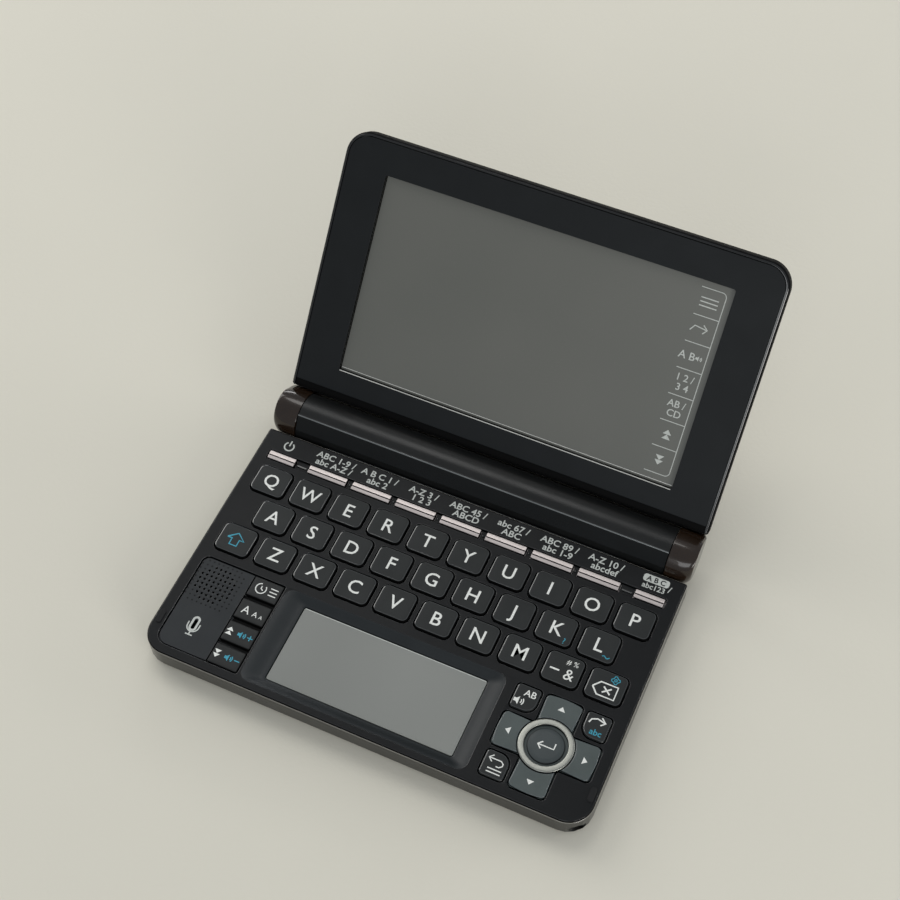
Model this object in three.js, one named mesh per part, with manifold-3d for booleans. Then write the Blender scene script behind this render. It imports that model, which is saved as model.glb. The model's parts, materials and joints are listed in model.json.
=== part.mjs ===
// Pocket electronic dictionary with a hinged lid, open on a table.
// Millimetres. X runs along the hinge, Y from the front edge to the back, Z up from the table.
// The origin is under the middle of the whole open object, on the table.
import * as THREE from 'three';
import { mergeVertices } from 'three/addons/utils/BufferGeometryUtils.js';
import Module from 'manifold-3d';

const wasm = await Module();
wasm.setup();

// Base
const BASE_WIDTH = 148;
const BASE_DEPTH = 88;
const FRONT_CORNER_R = 8.2;
const BACK_CORNER_R = 0.8;
const FOOT_HEIGHT = 0.6;
const CASE_WALL = 1.5;
const CASE_FLOOR = 1.4;
const CASE_EDGE_R = 2;
const SEAM_GAP = 0.3;
const COVER_THICK = 1.5;
const COVER_CHAMFER = 0.35;
const FIT_GAP = 0.3;
const OVERRUN = 1;
const FOOT_LENGTH = 12;
const FOOT_DEPTH = 5;
const FOOT_SIDE = 18;
const FOOT_FRONT = 9;

// Main board on its bosses, with the rubber key mat
const BOSS_R = 2.5;
const BOSS_HEIGHT = 1.3;
const BOSS_INSET = 4.5;
const BOSS_FRONT_INSET = 6.5;
const BOARD_THICK = 1.6;
const BOARD_CORNER_R = 2;
const BOARD_FRONT_GAP = 2;
const BOARD_BACK_GAP = 1.5;
const BOARD_SIDE_GAP = 1;
const MAT_THICK = 1.1;
const MAT_INSET = 1;

// Keys in general
const KEY_CLEARANCE = 0.35;
const KEY_TRAVEL = 0.8;
const FLANGE_OUT = 0.8;
const FLANGE_THICK = 0.9;
const FLANGE_GAP = 0.2;

// Main keys: ten columns and three rows between the front zone and the trough
const KEY_COLUMNS = 10;
const KEY_ROWS = 3;
const KEY_SIDE = 4.735;
const KEY_GAP_X = 2.17;
const KEY_GAP_Y = 1.75;
const KEYS_FRONT_GAP = 3.2;
const KEYS_BACK_GAP = 2.55;
const KEY_CORNER_R = 2;
const KEY_CHAMFER = 0.35;
const KEY_PROUD = 0.8;

// Function bars in their trough
const TROUGH_SIDE = 4.1;
const TROUGH_BACK_GAP = 7.7;
const TROUGH_DEPTH = 3.8;
const TROUGH_DEEP = 0.9;
const BAR_COUNT = 7;
const BAR_DEPTH = 2.9;
const BAR_GAP = 2.2;
const BAR_LINK = 5.2;
const BAR_PROUD = 0.35;
const BAR_GROOVE = 0.35;
const BAR_FLANGE_OUT = 0.6;
const END_BAR_WIDTH = 9.6;
const END_BAR_SIDE = 4.6;

// Shared recess of the speaker panel and the four side keys
const SIDE_INSET = 4;
const SIDE_WIDTH = 29.1;
const SIDE_FRONT = 3.1;
const SIDE_DEPTH = 33.1;
const SIDE_DEEP = 0.35;
const SIDE_BACK_R = 2.5;
const SIDE_FRONT_R = 4;
const SIDE_KEY_COUNT = 4;
const SIDE_KEY_WIDTH = 10.4;
const SIDE_KEY_EDGE = 0.3;
const SIDE_KEY_GAP = 1.27;
const SIDE_KEY_R = 0.5;
const SIDE_KEY_SUNK = 0.1;
const SIDE_KEY_CHAMFER = 0.25;
const SIDE_KEY_FLANGE_OUT = 0.45;
const GRILLE_PITCH = 1.63;
const GRILLE_IN = 8.03;
const GRILLE_BACK = 8.63;
const GRILLE_HOLE_R = 0.4;
const GRILLE_ROWS = [4, 6, 8, 8, 8, 8, 6, 4];
const MIC_IN = 8.85;
const MIC_FRONT = 9.8;
const MIC_SLOT_WIDTH = 1.2;
const MIC_SLOT_LENGTH = 3.4;

// Cursor cluster
const CURSOR_SIDE = 20.05;
const CURSOR_FRONT_GAP = 0.7;
const CURSOR_BACK_GAP = 0.4;
const CURSOR_REACH_X = 15.75;
const ARM_WIDTH = 11.5;
const ARM_CORNER_R = 1.3;
const CURSOR_PROUD = 0.45;
const CURSOR_CHAMFER = 0.3;
const CURSOR_FLANGE_OUT = 0.5;
const RING_OUTER_R = 8.55;
const RING_INNER_R = 6.6;
const RING_CHAMFER = 0.45;
const RING_PROUD = 0.75;
const ENTER_GAP = 0.7;
const ENTER_CHAMFER = 0.7;
const ENTER_PROUD = 0.55;
const ENTER_FLANGE_OUT = 0.8;
const ENTER_FLANGE_THICK = 0.5;
const CORNER_KEY_WIDTH = 7.9;
const CORNER_KEY_R = 1.2;
const CORNER_KEY_BIG_R = 3.6;
const CORNER_KEY_PROUD = 0.4;
const CORNER_KEY_GAP = 1.65;
const CORNER_KEY_SHORT = 0.2;

// Handwriting panel and the dished well round it
const WELL_SIDE_GAP = 0.7;
const WELL_CURSOR_GAP = 3.2;
const WELL_FRONT = 2.6;
const WELL_BACK_GAP = 0.2;
const WELL_DEEP = 1.35;
const WELL_TOP_R = 3;
const WELL_SLOPE_LEFT = 7.6;
const WELL_SLOPE_RIGHT = 5.4;
const WELL_SLOPE_FRONT = 3.5;
const WELL_SLOPE_BACK = 3.4;
const PAD_R = 0.6;
const PAD_SUNK = 0.15;
const PAD_MARGIN = 0.6;
const PAD_LIP = 2;
const PAD_THICK = 0.9;
const PAD_FRAME_THICK = 0.8;
const PAD_FRAME_OUT = 2.6;

// Stylus in the right side of the case
const STYLUS_R = 1.8;
const STYLUS_SIDE = 3;
const STYLUS_LIFT = 0.2;
const STYLUS_TIP_R = 0.7;
const STYLUS_TIP_LENGTH = 6;
const STYLUS_FRONT = 4;
const STYLUS_BACK_GAP = 8.6;
const STYLUS_HEAD_LENGTH = 5;
const STYLUS_HEAD_STEP = 0.25;
const STYLUS_WALL = 0.9;
const STYLUS_ROOF = 0.2;

// Rubber stops on the cover and the finger notch in its right edge
const STOP_SIDE = 2.05;
const STOP_Y = 11.2;
const STOP_WIDTH = 1.9;
const STOP_LENGTH = 4.9;
const STOP_PROUD = 0.5;
const NOTCH_BACK = 30.75;
const NOTCH_R = 0.7;

// Cells, and the hinge barrel and battery cover round them
const CELL_R = 7;
const CELL_NUB_R = 2.7;
const CELL_NUB_LENGTH = 1.2;
const CELL_SLACK = 2;
const CELL_BACK = 0.3;
const CELL_DROP = 0.2;
const CELL_CLEARANCE = 0.25;
const BARREL_WALL = 1.15;
const BARREL_GAP = 0.5;
const BARREL_END = 8.8;
const BARREL_BLOCK = 11.9;
const CREASE_OUT = 0.3;
const CREASE_DEG = 121;
const ARC_GAP_DEG = 6;
const FACET_FOOT_SHARES = [-0.881, 0.321];
const FACET_CHIN_SHARES = [-0.964, -0.06];
const SPLIT_DROP = 0.4;
const LUG_WIDTH = 8;
const LUG_INSET = 5.2;
const LUG_REACH = 5.5;
const LUG_THICK = 2;
const LUG_LIFT = 1.4;
const REAR_FOOT_DEPTH = 7;
const REAR_FOOT_RISE = 1.8;
const JOURNAL_R = 2.6;
const JOURNAL_LENGTH = 6;
const JOURNAL_CLEARANCE = 0.25;

// Lid
const LID_OPEN_DEG = 129;
const LID_CLOSED_GAP = 1.03;
const LID_OVERHANG = 1.1;
const LID_HEEL_GAP = 0.2;
const LID_THICK = 6.5;
const LID_CORNER_R = 8;
const LID_HEEL_R = 0.8;
const LID_BACK_R = 2.4;
const LID_RIM = 1.1;
const LID_RIM_DROP = 0.9;
const LID_WALL = 1.3;
const APRON_GAP = 0.3;
const APRON_START_DEG = -22;
const APRON_END_DEG = -50;
const APRON_TAIL = 2.6;
const APRON_ROOT = 1;
const BEZEL_THICK = 1;
const BEZEL_GAP = 0.25;
const BEZEL_SIDE = 15.3;
const BEZEL_HEEL = 10.7;
const BEZEL_TOP = 11.7;
const SCREEN_R = 0.8;
const DISPLAY_MARGIN = 2.2;
const DISPLAY_THICK = 2;
const DISPLAY_GAP = 0.2;

// Hinge caps
const CAP_GAP = 0.3;
const CAP_HEEL_GAP = 0.3;
const CAP_HEEL_R = 3;
const CAP_ROUND = 5;
const CAP_END_SHARE = 0.69;
const CAP_APEX = [5.5, 5];
const CAP_TONGUE_INSET = 2;
const CAP_TONGUE_WIDTH = 3.4;
const CAP_TONGUE_LENGTH = 6;
const CAP_TONGUE_THICK = 1.3;

// Heights, from the table up through the case, board, mat, key flanges and cover
const FLOOR_TOP = FOOT_HEIGHT + CASE_FLOOR;
const BOARD_BOTTOM = FLOOR_TOP + BOSS_HEIGHT + FIT_GAP;
const BOARD_TOP = BOARD_BOTTOM + BOARD_THICK;
const FLANGE_BOTTOM = BOARD_TOP + MAT_THICK + FIT_GAP + KEY_TRAVEL;
const FLANGE_TOP = FLANGE_BOTTOM + FLANGE_THICK;
const COVER_UNDER = FLANGE_TOP + FLANGE_GAP;
const BASE_TOP = COVER_UNDER + COVER_THICK;
const CASE_TOP = COVER_UNDER - SEAM_GAP;

// Plan of the base
const HALF_WIDTH = BASE_WIDTH / 2;
const SIDE_LEFT = SIDE_INSET - HALF_WIDTH;
const SIDE_RIGHT = SIDE_LEFT + SIDE_WIDTH;
const SIDE_BACK = SIDE_FRONT + SIDE_DEPTH;
const SIDE_KEY_LEFT = SIDE_RIGHT - SIDE_KEY_EDGE - SIDE_KEY_WIDTH;
const SIDE_KEY_PITCH = (SIDE_DEPTH - 2 * SIDE_KEY_EDGE + SIDE_KEY_GAP) / SIDE_KEY_COUNT;
const SIDE_KEY_DEPTH = SIDE_KEY_PITCH - SIDE_KEY_GAP;
const TROUGH_BACK = BASE_DEPTH - TROUGH_BACK_GAP;
const TROUGH_FRONT = TROUGH_BACK - TROUGH_DEPTH;
const KEYS_FRONT = SIDE_BACK + KEYS_FRONT_GAP;
const KEYS_BACK = TROUGH_FRONT - KEYS_BACK_GAP;
const KEY_PITCH = (BASE_WIDTH - 2 * KEY_SIDE + KEY_GAP_X) / KEY_COLUMNS;
const ROW_PITCH = (KEYS_BACK - KEYS_FRONT + KEY_GAP_Y) / KEY_ROWS;
const KEY_WIDTH = KEY_PITCH - KEY_GAP_X;
const KEY_DEPTH = ROW_PITCH - KEY_GAP_Y;
const END_BAR_X = HALF_WIDTH - END_BAR_SIDE - END_BAR_WIDTH / 2;
const BAR_PITCH = (BASE_WIDTH - 2 * (END_BAR_SIDE + END_BAR_WIDTH + BAR_LINK) + BAR_GAP) / BAR_COUNT;
const BAR_WIDTH = BAR_PITCH - BAR_GAP;
const CURSOR_X = HALF_WIDTH - CURSOR_SIDE;
const CURSOR_REACH_Y = (SIDE_DEPTH - CURSOR_FRONT_GAP - CURSOR_BACK_GAP) / 2;
const CURSOR_Y = SIDE_FRONT + CURSOR_FRONT_GAP + CURSOR_REACH_Y;
const CORNER_KEY_DEPTH = CURSOR_REACH_Y - ARM_WIDTH / 2 - CORNER_KEY_GAP - CORNER_KEY_SHORT;
const CORNER_KEY_OUT_X = ARM_WIDTH / 2 + CORNER_KEY_GAP + CORNER_KEY_WIDTH / 2;
const CORNER_KEY_OUT_Y = ARM_WIDTH / 2 + CORNER_KEY_GAP + CORNER_KEY_DEPTH / 2;
const ENTER_R = RING_INNER_R - ENTER_GAP;
const WELL = [SIDE_RIGHT + WELL_SIDE_GAP, WELL_FRONT, CURSOR_X - CURSOR_REACH_X - WELL_CURSOR_GAP,
  SIDE_BACK - WELL_BACK_GAP];
const PAD = [WELL[0] + WELL_SLOPE_LEFT, WELL[1] + WELL_SLOPE_FRONT, WELL[2] - WELL_SLOPE_RIGHT,
  WELL[3] - WELL_SLOPE_BACK];
const STYLUS_X = HALF_WIDTH - STYLUS_SIDE;
const STYLUS_Z = FLOOR_TOP + STYLUS_R + STYLUS_LIFT;
const STYLUS_LENGTH = BASE_DEPTH - STYLUS_FRONT - STYLUS_BACK_GAP;
const TUNNEL_R = STYLUS_R + FIT_GAP;
const TUNNEL_LEFT = STYLUS_X - TUNNEL_R - STYLUS_WALL;
const TUNNEL_BACK = STYLUS_FRONT + STYLUS_LENGTH + FIT_GAP;
const LUG_FRONT = BASE_DEPTH - LUG_REACH;
const LUG_BOTTOM = FLOOR_TOP + LUG_LIFT;
const BOARD = [BOARD_SIDE_GAP - TUNNEL_LEFT, CASE_WALL + BOARD_FRONT_GAP, TUNNEL_LEFT - BOARD_SIDE_GAP,
  LUG_FRONT - BOARD_BACK_GAP];

// Hinge, barrel and lid
const BARREL_R = CELL_R + CELL_CLEARANCE + BARREL_WALL;
const CREASE_R = BARREL_R + CREASE_OUT;
const BARREL_HALF = HALF_WIDTH - BARREL_END;
const BAY_HALF = BARREL_HALF - BARREL_BLOCK;
const CELL_LENGTH = BAY_HALF - CELL_SLACK - 1.5 * CELL_NUB_LENGTH;
const LUG_X = BARREL_HALF - LUG_INSET;
const HINGE_Y = BASE_DEPTH + BARREL_GAP + BARREL_R;
const HINGE_Z = FOOT_HEIGHT + BARREL_R;
const LID_FACE = BASE_TOP + LID_CLOSED_GAP - HINGE_Z;
const LID_HEEL = CREASE_R + LID_HEEL_GAP;
const LID_LENGTH = HINGE_Y + LID_OVERHANG - LID_HEEL;
const CAP_INNER = BARREL_HALF + CAP_GAP;
const TONGUE_DEEP = LID_FACE + LID_THICK - LID_WALL - FIT_GAP;

// Segments of the round shapes
const KEY_STEPS = 2;
const CORNER_STEPS = 5;
const ROUND_STEPS = 28;
const HOLE_STEPS = 6;

// Materials
function plastic(color, roughness, metalness = 0) {
  return new THREE.MeshStandardMaterial({ color, roughness, metalness });
}
const FINISH = {
  cover: () => plastic('#26292b', 0.6),
  shell: () => plastic('#3a352f', 0.3),
  key: () => plastic('#2a2c2e', 0.55),
  cursor: () => plastic('#4d5659', 0.45),
  bar: () => plastic('#b3a5a0', 0.3, 0.8),
  bezel: () => plastic('#181b1d', 0.5),
  screen: () => plastic('#63645e', 0.35),
  panel: () => plastic('#85867f', 0.4),
  board: () => plastic('#2f4a38', 0.7),
  cap: () => plastic('#2b211b', 0.15),
  cell: () => plastic('#8a7d4a', 0.35, 0.6),
  stylus: () => plastic('#202325', 0.45),
};

// Outlines: lists of points, anticlockwise
function arcPoints(x, y, r, startDeg, endDeg, steps) {
  const points = [];
  for (let k = 0; k <= steps; k++) {
    const angle = THREE.MathUtils.degToRad(startDeg + ((endDeg - startDeg) * k) / steps);
    points.push(new THREE.Vector2(x + r * Math.cos(angle), y + r * Math.sin(angle)));
  }
  return points;
}

function circle(x, y, r, steps = ROUND_STEPS) {
  return arcPoints(x, y, r, 0, 360, steps).slice(0, -1);
}

// Rectangle with its own radius at the front-left, front-right, back-right and back-left corner
function roundedBox(left, front, right, back, radii, steps) {
  const [fl, fr, br, bl] = Array.isArray(radii) ? radii : [radii, radii, radii, radii];
  return [
    ...arcPoints(left + fl, front + fl, fl, 180, 270, steps),
    ...arcPoints(right - fr, front + fr, fr, 270, 360, steps),
    ...arcPoints(right - br, back - br, br, 0, 90, steps),
    ...arcPoints(left + bl, back - bl, bl, 90, 180, steps),
  ];
}

function centredBox(x, y, width, depth, radii, steps) {
  return roundedBox(x - width / 2, y - depth / 2, x + width / 2, y + depth / 2, radii, steps);
}

// Solids
function geometryFrom(position, index) {
  const geometry = new THREE.BufferGeometry();
  geometry.setAttribute('position', new THREE.Float32BufferAttribute(position, 3));
  geometry.setIndex(index);
  return geometry;
}

// Closed skin through outlines of equal point count, each at its own height, lowest first
function loft(sections) {
  const count = sections[0][0].length;
  const position = sections.flatMap(([points, z]) => points.flatMap((p) => [p.x, p.y, z]));
  const index = [];
  for (let s = 0; s < sections.length - 1; s++) {
    for (let i = 0; i < count; i++) {
      const a = s * count + i;
      const b = s * count + ((i + 1) % count);
      index.push(a, b, b + count, a, b + count, a + count);
    }
  }
  const last = (sections.length - 1) * count;
  for (const [a, b, c] of THREE.ShapeUtils.triangulateShape(sections[0][0], [])) index.push(a, c, b);
  for (const [a, b, c] of THREE.ShapeUtils.triangulateShape(sections.at(-1)[0], [])) {
    index.push(last + a, last + b, last + c);
  }
  return geometryFrom(position, index);
}

function prism(points, bottom, top) {
  return loft([[points, bottom], [points, top]]);
}

// Skin along X: outlines in (y, z), each at its own x
function loftAlongX(sections) {
  const turned = sections.map(([points, x]) => [points.map((p) => new THREE.Vector2(-p.y, p.x)), x]);
  return loft(turned).rotateY(Math.PI / 2);
}

// Skin along Y: outlines in (x, z), each at its own y, lowest y first
function loftAlongY(sections) {
  const turned = sections.map(([points, y]) => [
    points.map((p) => new THREE.Vector2(p.x, -p.y)).reverse(), y]);
  return loft(turned).rotateX(-Math.PI / 2);
}

function solid(geometry) {
  const merged = mergeVertices(geometry);
  return new wasm.Manifold(new wasm.Mesh({
    numProp: 3,
    vertProperties: new Float32Array(merged.attributes.position.array),
    triVerts: new Uint32Array(merged.index.array),
  }));
}

function join(first, ...rest) {
  return rest.reduce((sum, item) => sum.add(solid(item)), solid(first));
}

function cut(body, ...tools) {
  return tools.reduce((sum, item) => sum.subtract(solid(item)), body);
}

function skin(body) {
  const { vertProperties, triVerts } = body.getMesh();
  return geometryFrom(Array.from(vertProperties), Array.from(triVerts));
}

const device = new THREE.Group();
const base = new THREE.Group();
const lid = new THREE.Group();
device.add(base, lid);
lid.position.set(0, HINGE_Y, HINGE_Z);
lid.rotation.x = THREE.MathUtils.degToRad(180 - LID_OPEN_DEG);

function place(parent, name, geometry, material) {
  const mesh = new THREE.Mesh(geometry, material);
  mesh.name = name;
  parent.add(mesh);
}

// Outline of the base, drawn in from its edge by an inset
function baseOutline(inset) {
  const front = Math.max(FRONT_CORNER_R - inset, BACK_CORNER_R);
  const half = HALF_WIDTH - inset;
  const radii = [front, front, BACK_CORNER_R, BACK_CORNER_R];
  return roundedBox(-half, inset, half, BASE_DEPTH - inset, radii, CORNER_STEPS);
}

// Keys: a cap standing through the cover on a flange under it. Each is listed with its hole.
const holes = [];

// A grown outline of the key makes the hole and the flange
function addKey(name, outline, proud, chamfer, flangeOut) {
  const top = BASE_TOP + proud;
  place(base, name, loft([
    [outline(flangeOut), FLANGE_BOTTOM],
    [outline(flangeOut), FLANGE_TOP],
    [outline(0), FLANGE_TOP],
    [outline(0), top - chamfer],
    [outline(-chamfer), top],
  ]), FINISH.key());
  holes.push(outline(KEY_CLEARANCE));
}

function boxKey(x, y, width, depth, radii) {
  return (grow) => centredBox(x, y, width + 2 * grow, depth + 2 * grow,
    [].concat(radii).map((r) => Math.max(r + grow, KEY_CHAMFER)), KEY_STEPS);
}

function squareKey(x, y, width, depth, r) {
  return boxKey(x, y, width, depth, [r, r, r, r]);
}

function addMainKeys() {
  const rows = [
    ['shift', ...'zxcvbnm', 'symbol', 'delete'],
    [...'asdfghjkl'],
    [...'qwertyuiop'],
  ];
  rows.forEach((names, row) => names.forEach((name, i) => {
    const x = (i - (names.length - 1) / 2) * KEY_PITCH;
    const y = KEYS_FRONT + KEY_DEPTH / 2 + row * ROW_PITCH;
    const outline = squareKey(x, y, KEY_WIDTH, KEY_DEPTH, KEY_CORNER_R);
    addKey(`key_${name}`, outline, KEY_PROUD, KEY_CHAMFER, FLANGE_OUT);
  }));
}

function addSideKeys() {
  ['page_down', 'page_up', 'text_size', 'history'].forEach((name, i) => {
    const x = SIDE_KEY_LEFT + SIDE_KEY_WIDTH / 2;
    const y = SIDE_FRONT + SIDE_KEY_EDGE + SIDE_KEY_DEPTH / 2 + i * SIDE_KEY_PITCH;
    const outline = squareKey(x, y, SIDE_KEY_WIDTH, SIDE_KEY_DEPTH, SIDE_KEY_R);
    addKey(`key_${name}`, outline, -SIDE_KEY_SUNK, SIDE_KEY_CHAMFER, SIDE_KEY_FLANGE_OUT);
  });
}

// Each corner key has its big radius towards the ring
function addCornerKeys() {
  const [r, big] = [CORNER_KEY_R, CORNER_KEY_BIG_R];
  const keys = [
    ['key_voice', -1, 1, [r, big, r, r]],
    ['key_jump', 1, 1, [big, r, r, r]],
    ['key_back', -1, -1, [r, r, big, r]],
  ];
  for (const [name, sideX, sideY, radii] of keys) {
    const x = CURSOR_X + sideX * CORNER_KEY_OUT_X;
    const y = CURSOR_Y + sideY * CORNER_KEY_OUT_Y;
    const outline = boxKey(x, y, CORNER_KEY_WIDTH, CORNER_KEY_DEPTH, radii);
    addKey(name, outline, CORNER_KEY_PROUD, KEY_CHAMFER, FLANGE_OUT);
  }
}

// Metal-look bar with a groove along its top, on a flange under the trough
function addBar(name, x, width) {
  const y = (TROUGH_FRONT + TROUGH_BACK) / 2;
  const top = BASE_TOP + BAR_PROUD;
  const half = BAR_DEPTH / 2;
  const profile = [
    [-half, FLANGE_BOTTOM],
    [half, FLANGE_BOTTOM],
    [half, top - BAR_GROOVE],
    [half - BAR_GROOVE, top],
    [BAR_GROOVE, top],
    [0, top - BAR_GROOVE],
    [-BAR_GROOVE, top],
    [BAR_GROOVE - half, top],
    [-half, top - BAR_GROOVE],
  ].map(([dy, z]) => new THREE.Vector2(y + dy, z));
  const body = loftAlongX([[profile, x - width / 2], [profile, x + width / 2]]);
  const flange = prism(centredBox(x, y, width + 2 * BAR_FLANGE_OUT, BAR_DEPTH + 2 * BAR_FLANGE_OUT,
    BACK_CORNER_R, 1), FLANGE_BOTTOM, FLANGE_TOP);
  place(base, name, skin(join(body, flange)), FINISH.bar());
  holes.push(centredBox(x, y, width + 2 * KEY_CLEARANCE, BAR_DEPTH + 2 * KEY_CLEARANCE, KEY_CHAMFER, 1));
}

function addBars() {
  addBar('key_power', -END_BAR_X, END_BAR_WIDTH);
  for (let i = 0; i < BAR_COUNT; i++) {
    addBar(`key_function_${i + 1}`, (i - (BAR_COUNT - 1) / 2) * BAR_PITCH, BAR_WIDTH);
  }
  addBar('key_menu', END_BAR_X, END_BAR_WIDTH);
}

// Cross of four arms round a circle, as one outline
function crossOutline(grow) {
  const arm = ARM_WIDTH / 2 + grow;
  const r = ARM_CORNER_R + grow;
  const reach = [CURSOR_REACH_X + grow, CURSOR_REACH_Y + grow, CURSOR_REACH_X + grow, CURSOR_REACH_Y + grow];
  const circleR = RING_OUTER_R + grow;
  const meet = Math.asin(arm / circleR);
  const points = [];
  reach.forEach((length, i) => {
    const turn = (i * Math.PI) / 2;
    const end = [
      ...arcPoints(length - r, r - arm, r, 270, 360, KEY_STEPS),
      ...arcPoints(length - r, arm - r, r, 0, 90, KEY_STEPS),
      new THREE.Vector2(circleR * Math.cos(meet), arm),
      new THREE.Vector2(circleR * Math.cos(Math.PI / 4), circleR * Math.sin(Math.PI / 4)),
      new THREE.Vector2(arm, circleR * Math.cos(meet)),
    ];
    end.forEach((p) => points.push(p.rotateAround(new THREE.Vector2(), turn)));
  });
  return points.map((p) => new THREE.Vector2(p.x + CURSOR_X, p.y + CURSOR_Y));
}

// One rocking cross with a raised ring; the enter key moves in its middle on a lower flange
function addCursor() {
  const top = BASE_TOP + CURSOR_PROUD;
  const ringTop = BASE_TOP + RING_PROUD;
  const cross = loft([
    [crossOutline(CURSOR_FLANGE_OUT), FLANGE_BOTTOM],
    [crossOutline(CURSOR_FLANGE_OUT), FLANGE_TOP],
    [crossOutline(0), FLANGE_TOP],
    [crossOutline(0), top - CURSOR_CHAMFER],
    [crossOutline(-CURSOR_CHAMFER), top],
  ]);
  const ring = loft([
    [circle(CURSOR_X, CURSOR_Y, RING_OUTER_R), FLANGE_TOP],
    [circle(CURSOR_X, CURSOR_Y, RING_OUTER_R), ringTop - RING_CHAMFER],
    [circle(CURSOR_X, CURSOR_Y, RING_OUTER_R - RING_CHAMFER), ringTop],
  ]);
  const eye = prism(circle(CURSOR_X, CURSOR_Y, RING_INNER_R), FLANGE_BOTTOM - OVERRUN, ringTop + OVERRUN);
  place(base, 'cursor_pad', skin(cut(join(cross, ring), eye)), FINISH.cursor());
  holes.push(crossOutline(KEY_CLEARANCE));

  const flangeTop = FLANGE_BOTTOM - KEY_TRAVEL;
  const disc = (r) => circle(CURSOR_X, CURSOR_Y, r);
  place(base, 'key_enter', loft([
    [disc(RING_INNER_R + ENTER_FLANGE_OUT), flangeTop - ENTER_FLANGE_THICK],
    [disc(RING_INNER_R + ENTER_FLANGE_OUT), flangeTop],
    [disc(ENTER_R), flangeTop],
    [disc(ENTER_R), BASE_TOP + ENTER_PROUD - ENTER_CHAMFER],
    [disc(ENTER_R - ENTER_CHAMFER), BASE_TOP + ENTER_PROUD],
  ]), FINISH.cursor());
}

// Thin plate of the top cover with every hole, recess and well
function addCover() {
  const windowBox = (grow) => roundedBox(PAD[0] - grow, PAD[1] - grow, PAD[2] + grow, PAD[3] + grow,
    PAD_R + grow, CORNER_STEPS);
  const wellTop = roundedBox(...WELL, WELL_TOP_R, CORNER_STEPS);
  const wellFloor = BASE_TOP - WELL_DEEP;
  const frameUnder = wellFloor - PAD_FRAME_THICK;
  const stops = [STOP_SIDE - HALF_WIDTH, HALF_WIDTH - STOP_SIDE].map((x) => prism(
    centredBox(x, STOP_Y, STOP_WIDTH, STOP_LENGTH, STOP_WIDTH / 2, KEY_STEPS),
    BASE_TOP - STOP_PROUD, BASE_TOP + STOP_PROUD));
  const plate = join(
    loft([
      [baseOutline(0), COVER_UNDER],
      [baseOutline(0), BASE_TOP - COVER_CHAMFER],
      [baseOutline(COVER_CHAMFER), BASE_TOP],
    ]),
    prism(windowBox(PAD_FRAME_OUT), frameUnder, COVER_UNDER + FIT_GAP),
    ...stops);

  const sideRecess = roundedBox(SIDE_LEFT, SIDE_FRONT, SIDE_RIGHT, SIDE_BACK,
    [SIDE_FRONT_R, BACK_CORNER_R, BACK_CORNER_R, SIDE_BACK_R], KEY_STEPS);
  const trough = roundedBox(TROUGH_SIDE - HALF_WIDTH, TROUGH_FRONT, HALF_WIDTH - TROUGH_SIDE, TROUGH_BACK,
    BACK_CORNER_R, KEY_STEPS);
  const notch = circle(HALF_WIDTH, BASE_DEPTH - NOTCH_BACK, NOTCH_R, HOLE_STEPS);
  const slot = centredBox(SIDE_LEFT + MIC_IN, SIDE_FRONT + MIC_FRONT, MIC_SLOT_WIDTH, MIC_SLOT_LENGTH,
    MIC_SLOT_WIDTH / 2, KEY_STEPS);
  const through = (points) => prism(points, frameUnder - OVERRUN, BASE_TOP + OVERRUN);
  const grille = GRILLE_ROWS.flatMap((count, row) => Array.from({ length: count }, (_, i) => circle(
    SIDE_LEFT + GRILLE_IN + (i - (count - 1) / 2) * GRILLE_PITCH,
    SIDE_BACK - GRILLE_BACK + (row - (GRILLE_ROWS.length - 1) / 2) * GRILLE_PITCH,
    GRILLE_HOLE_R, HOLE_STEPS)));

  const cover = cut(plate,
    loft([[windowBox(PAD_MARGIN), wellFloor], [wellTop, BASE_TOP], [wellTop, BASE_TOP + OVERRUN]]),
    through(windowBox(FIT_GAP)),
    prism(sideRecess, BASE_TOP - SIDE_DEEP, BASE_TOP + OVERRUN),
    prism(trough, BASE_TOP - TROUGH_DEEP, BASE_TOP + OVERRUN),
    through(notch),
    prism(slot, COVER_UNDER + FIT_GAP, BASE_TOP + OVERRUN),
    ...holes.map(through),
    ...grille.map(through));
  place(base, 'base_top_cover', skin(cover), FINISH.cover());

  const padTop = wellFloor - PAD_SUNK;
  const padLip = frameUnder - FIT_GAP;
  place(base, 'handwriting_panel', loft([
    [windowBox(PAD_LIP), padLip - PAD_THICK],
    [windowBox(PAD_LIP), padLip],
    [windowBox(0), padLip],
    [windowBox(0), padTop],
  ]), FINISH.panel());
}

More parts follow.
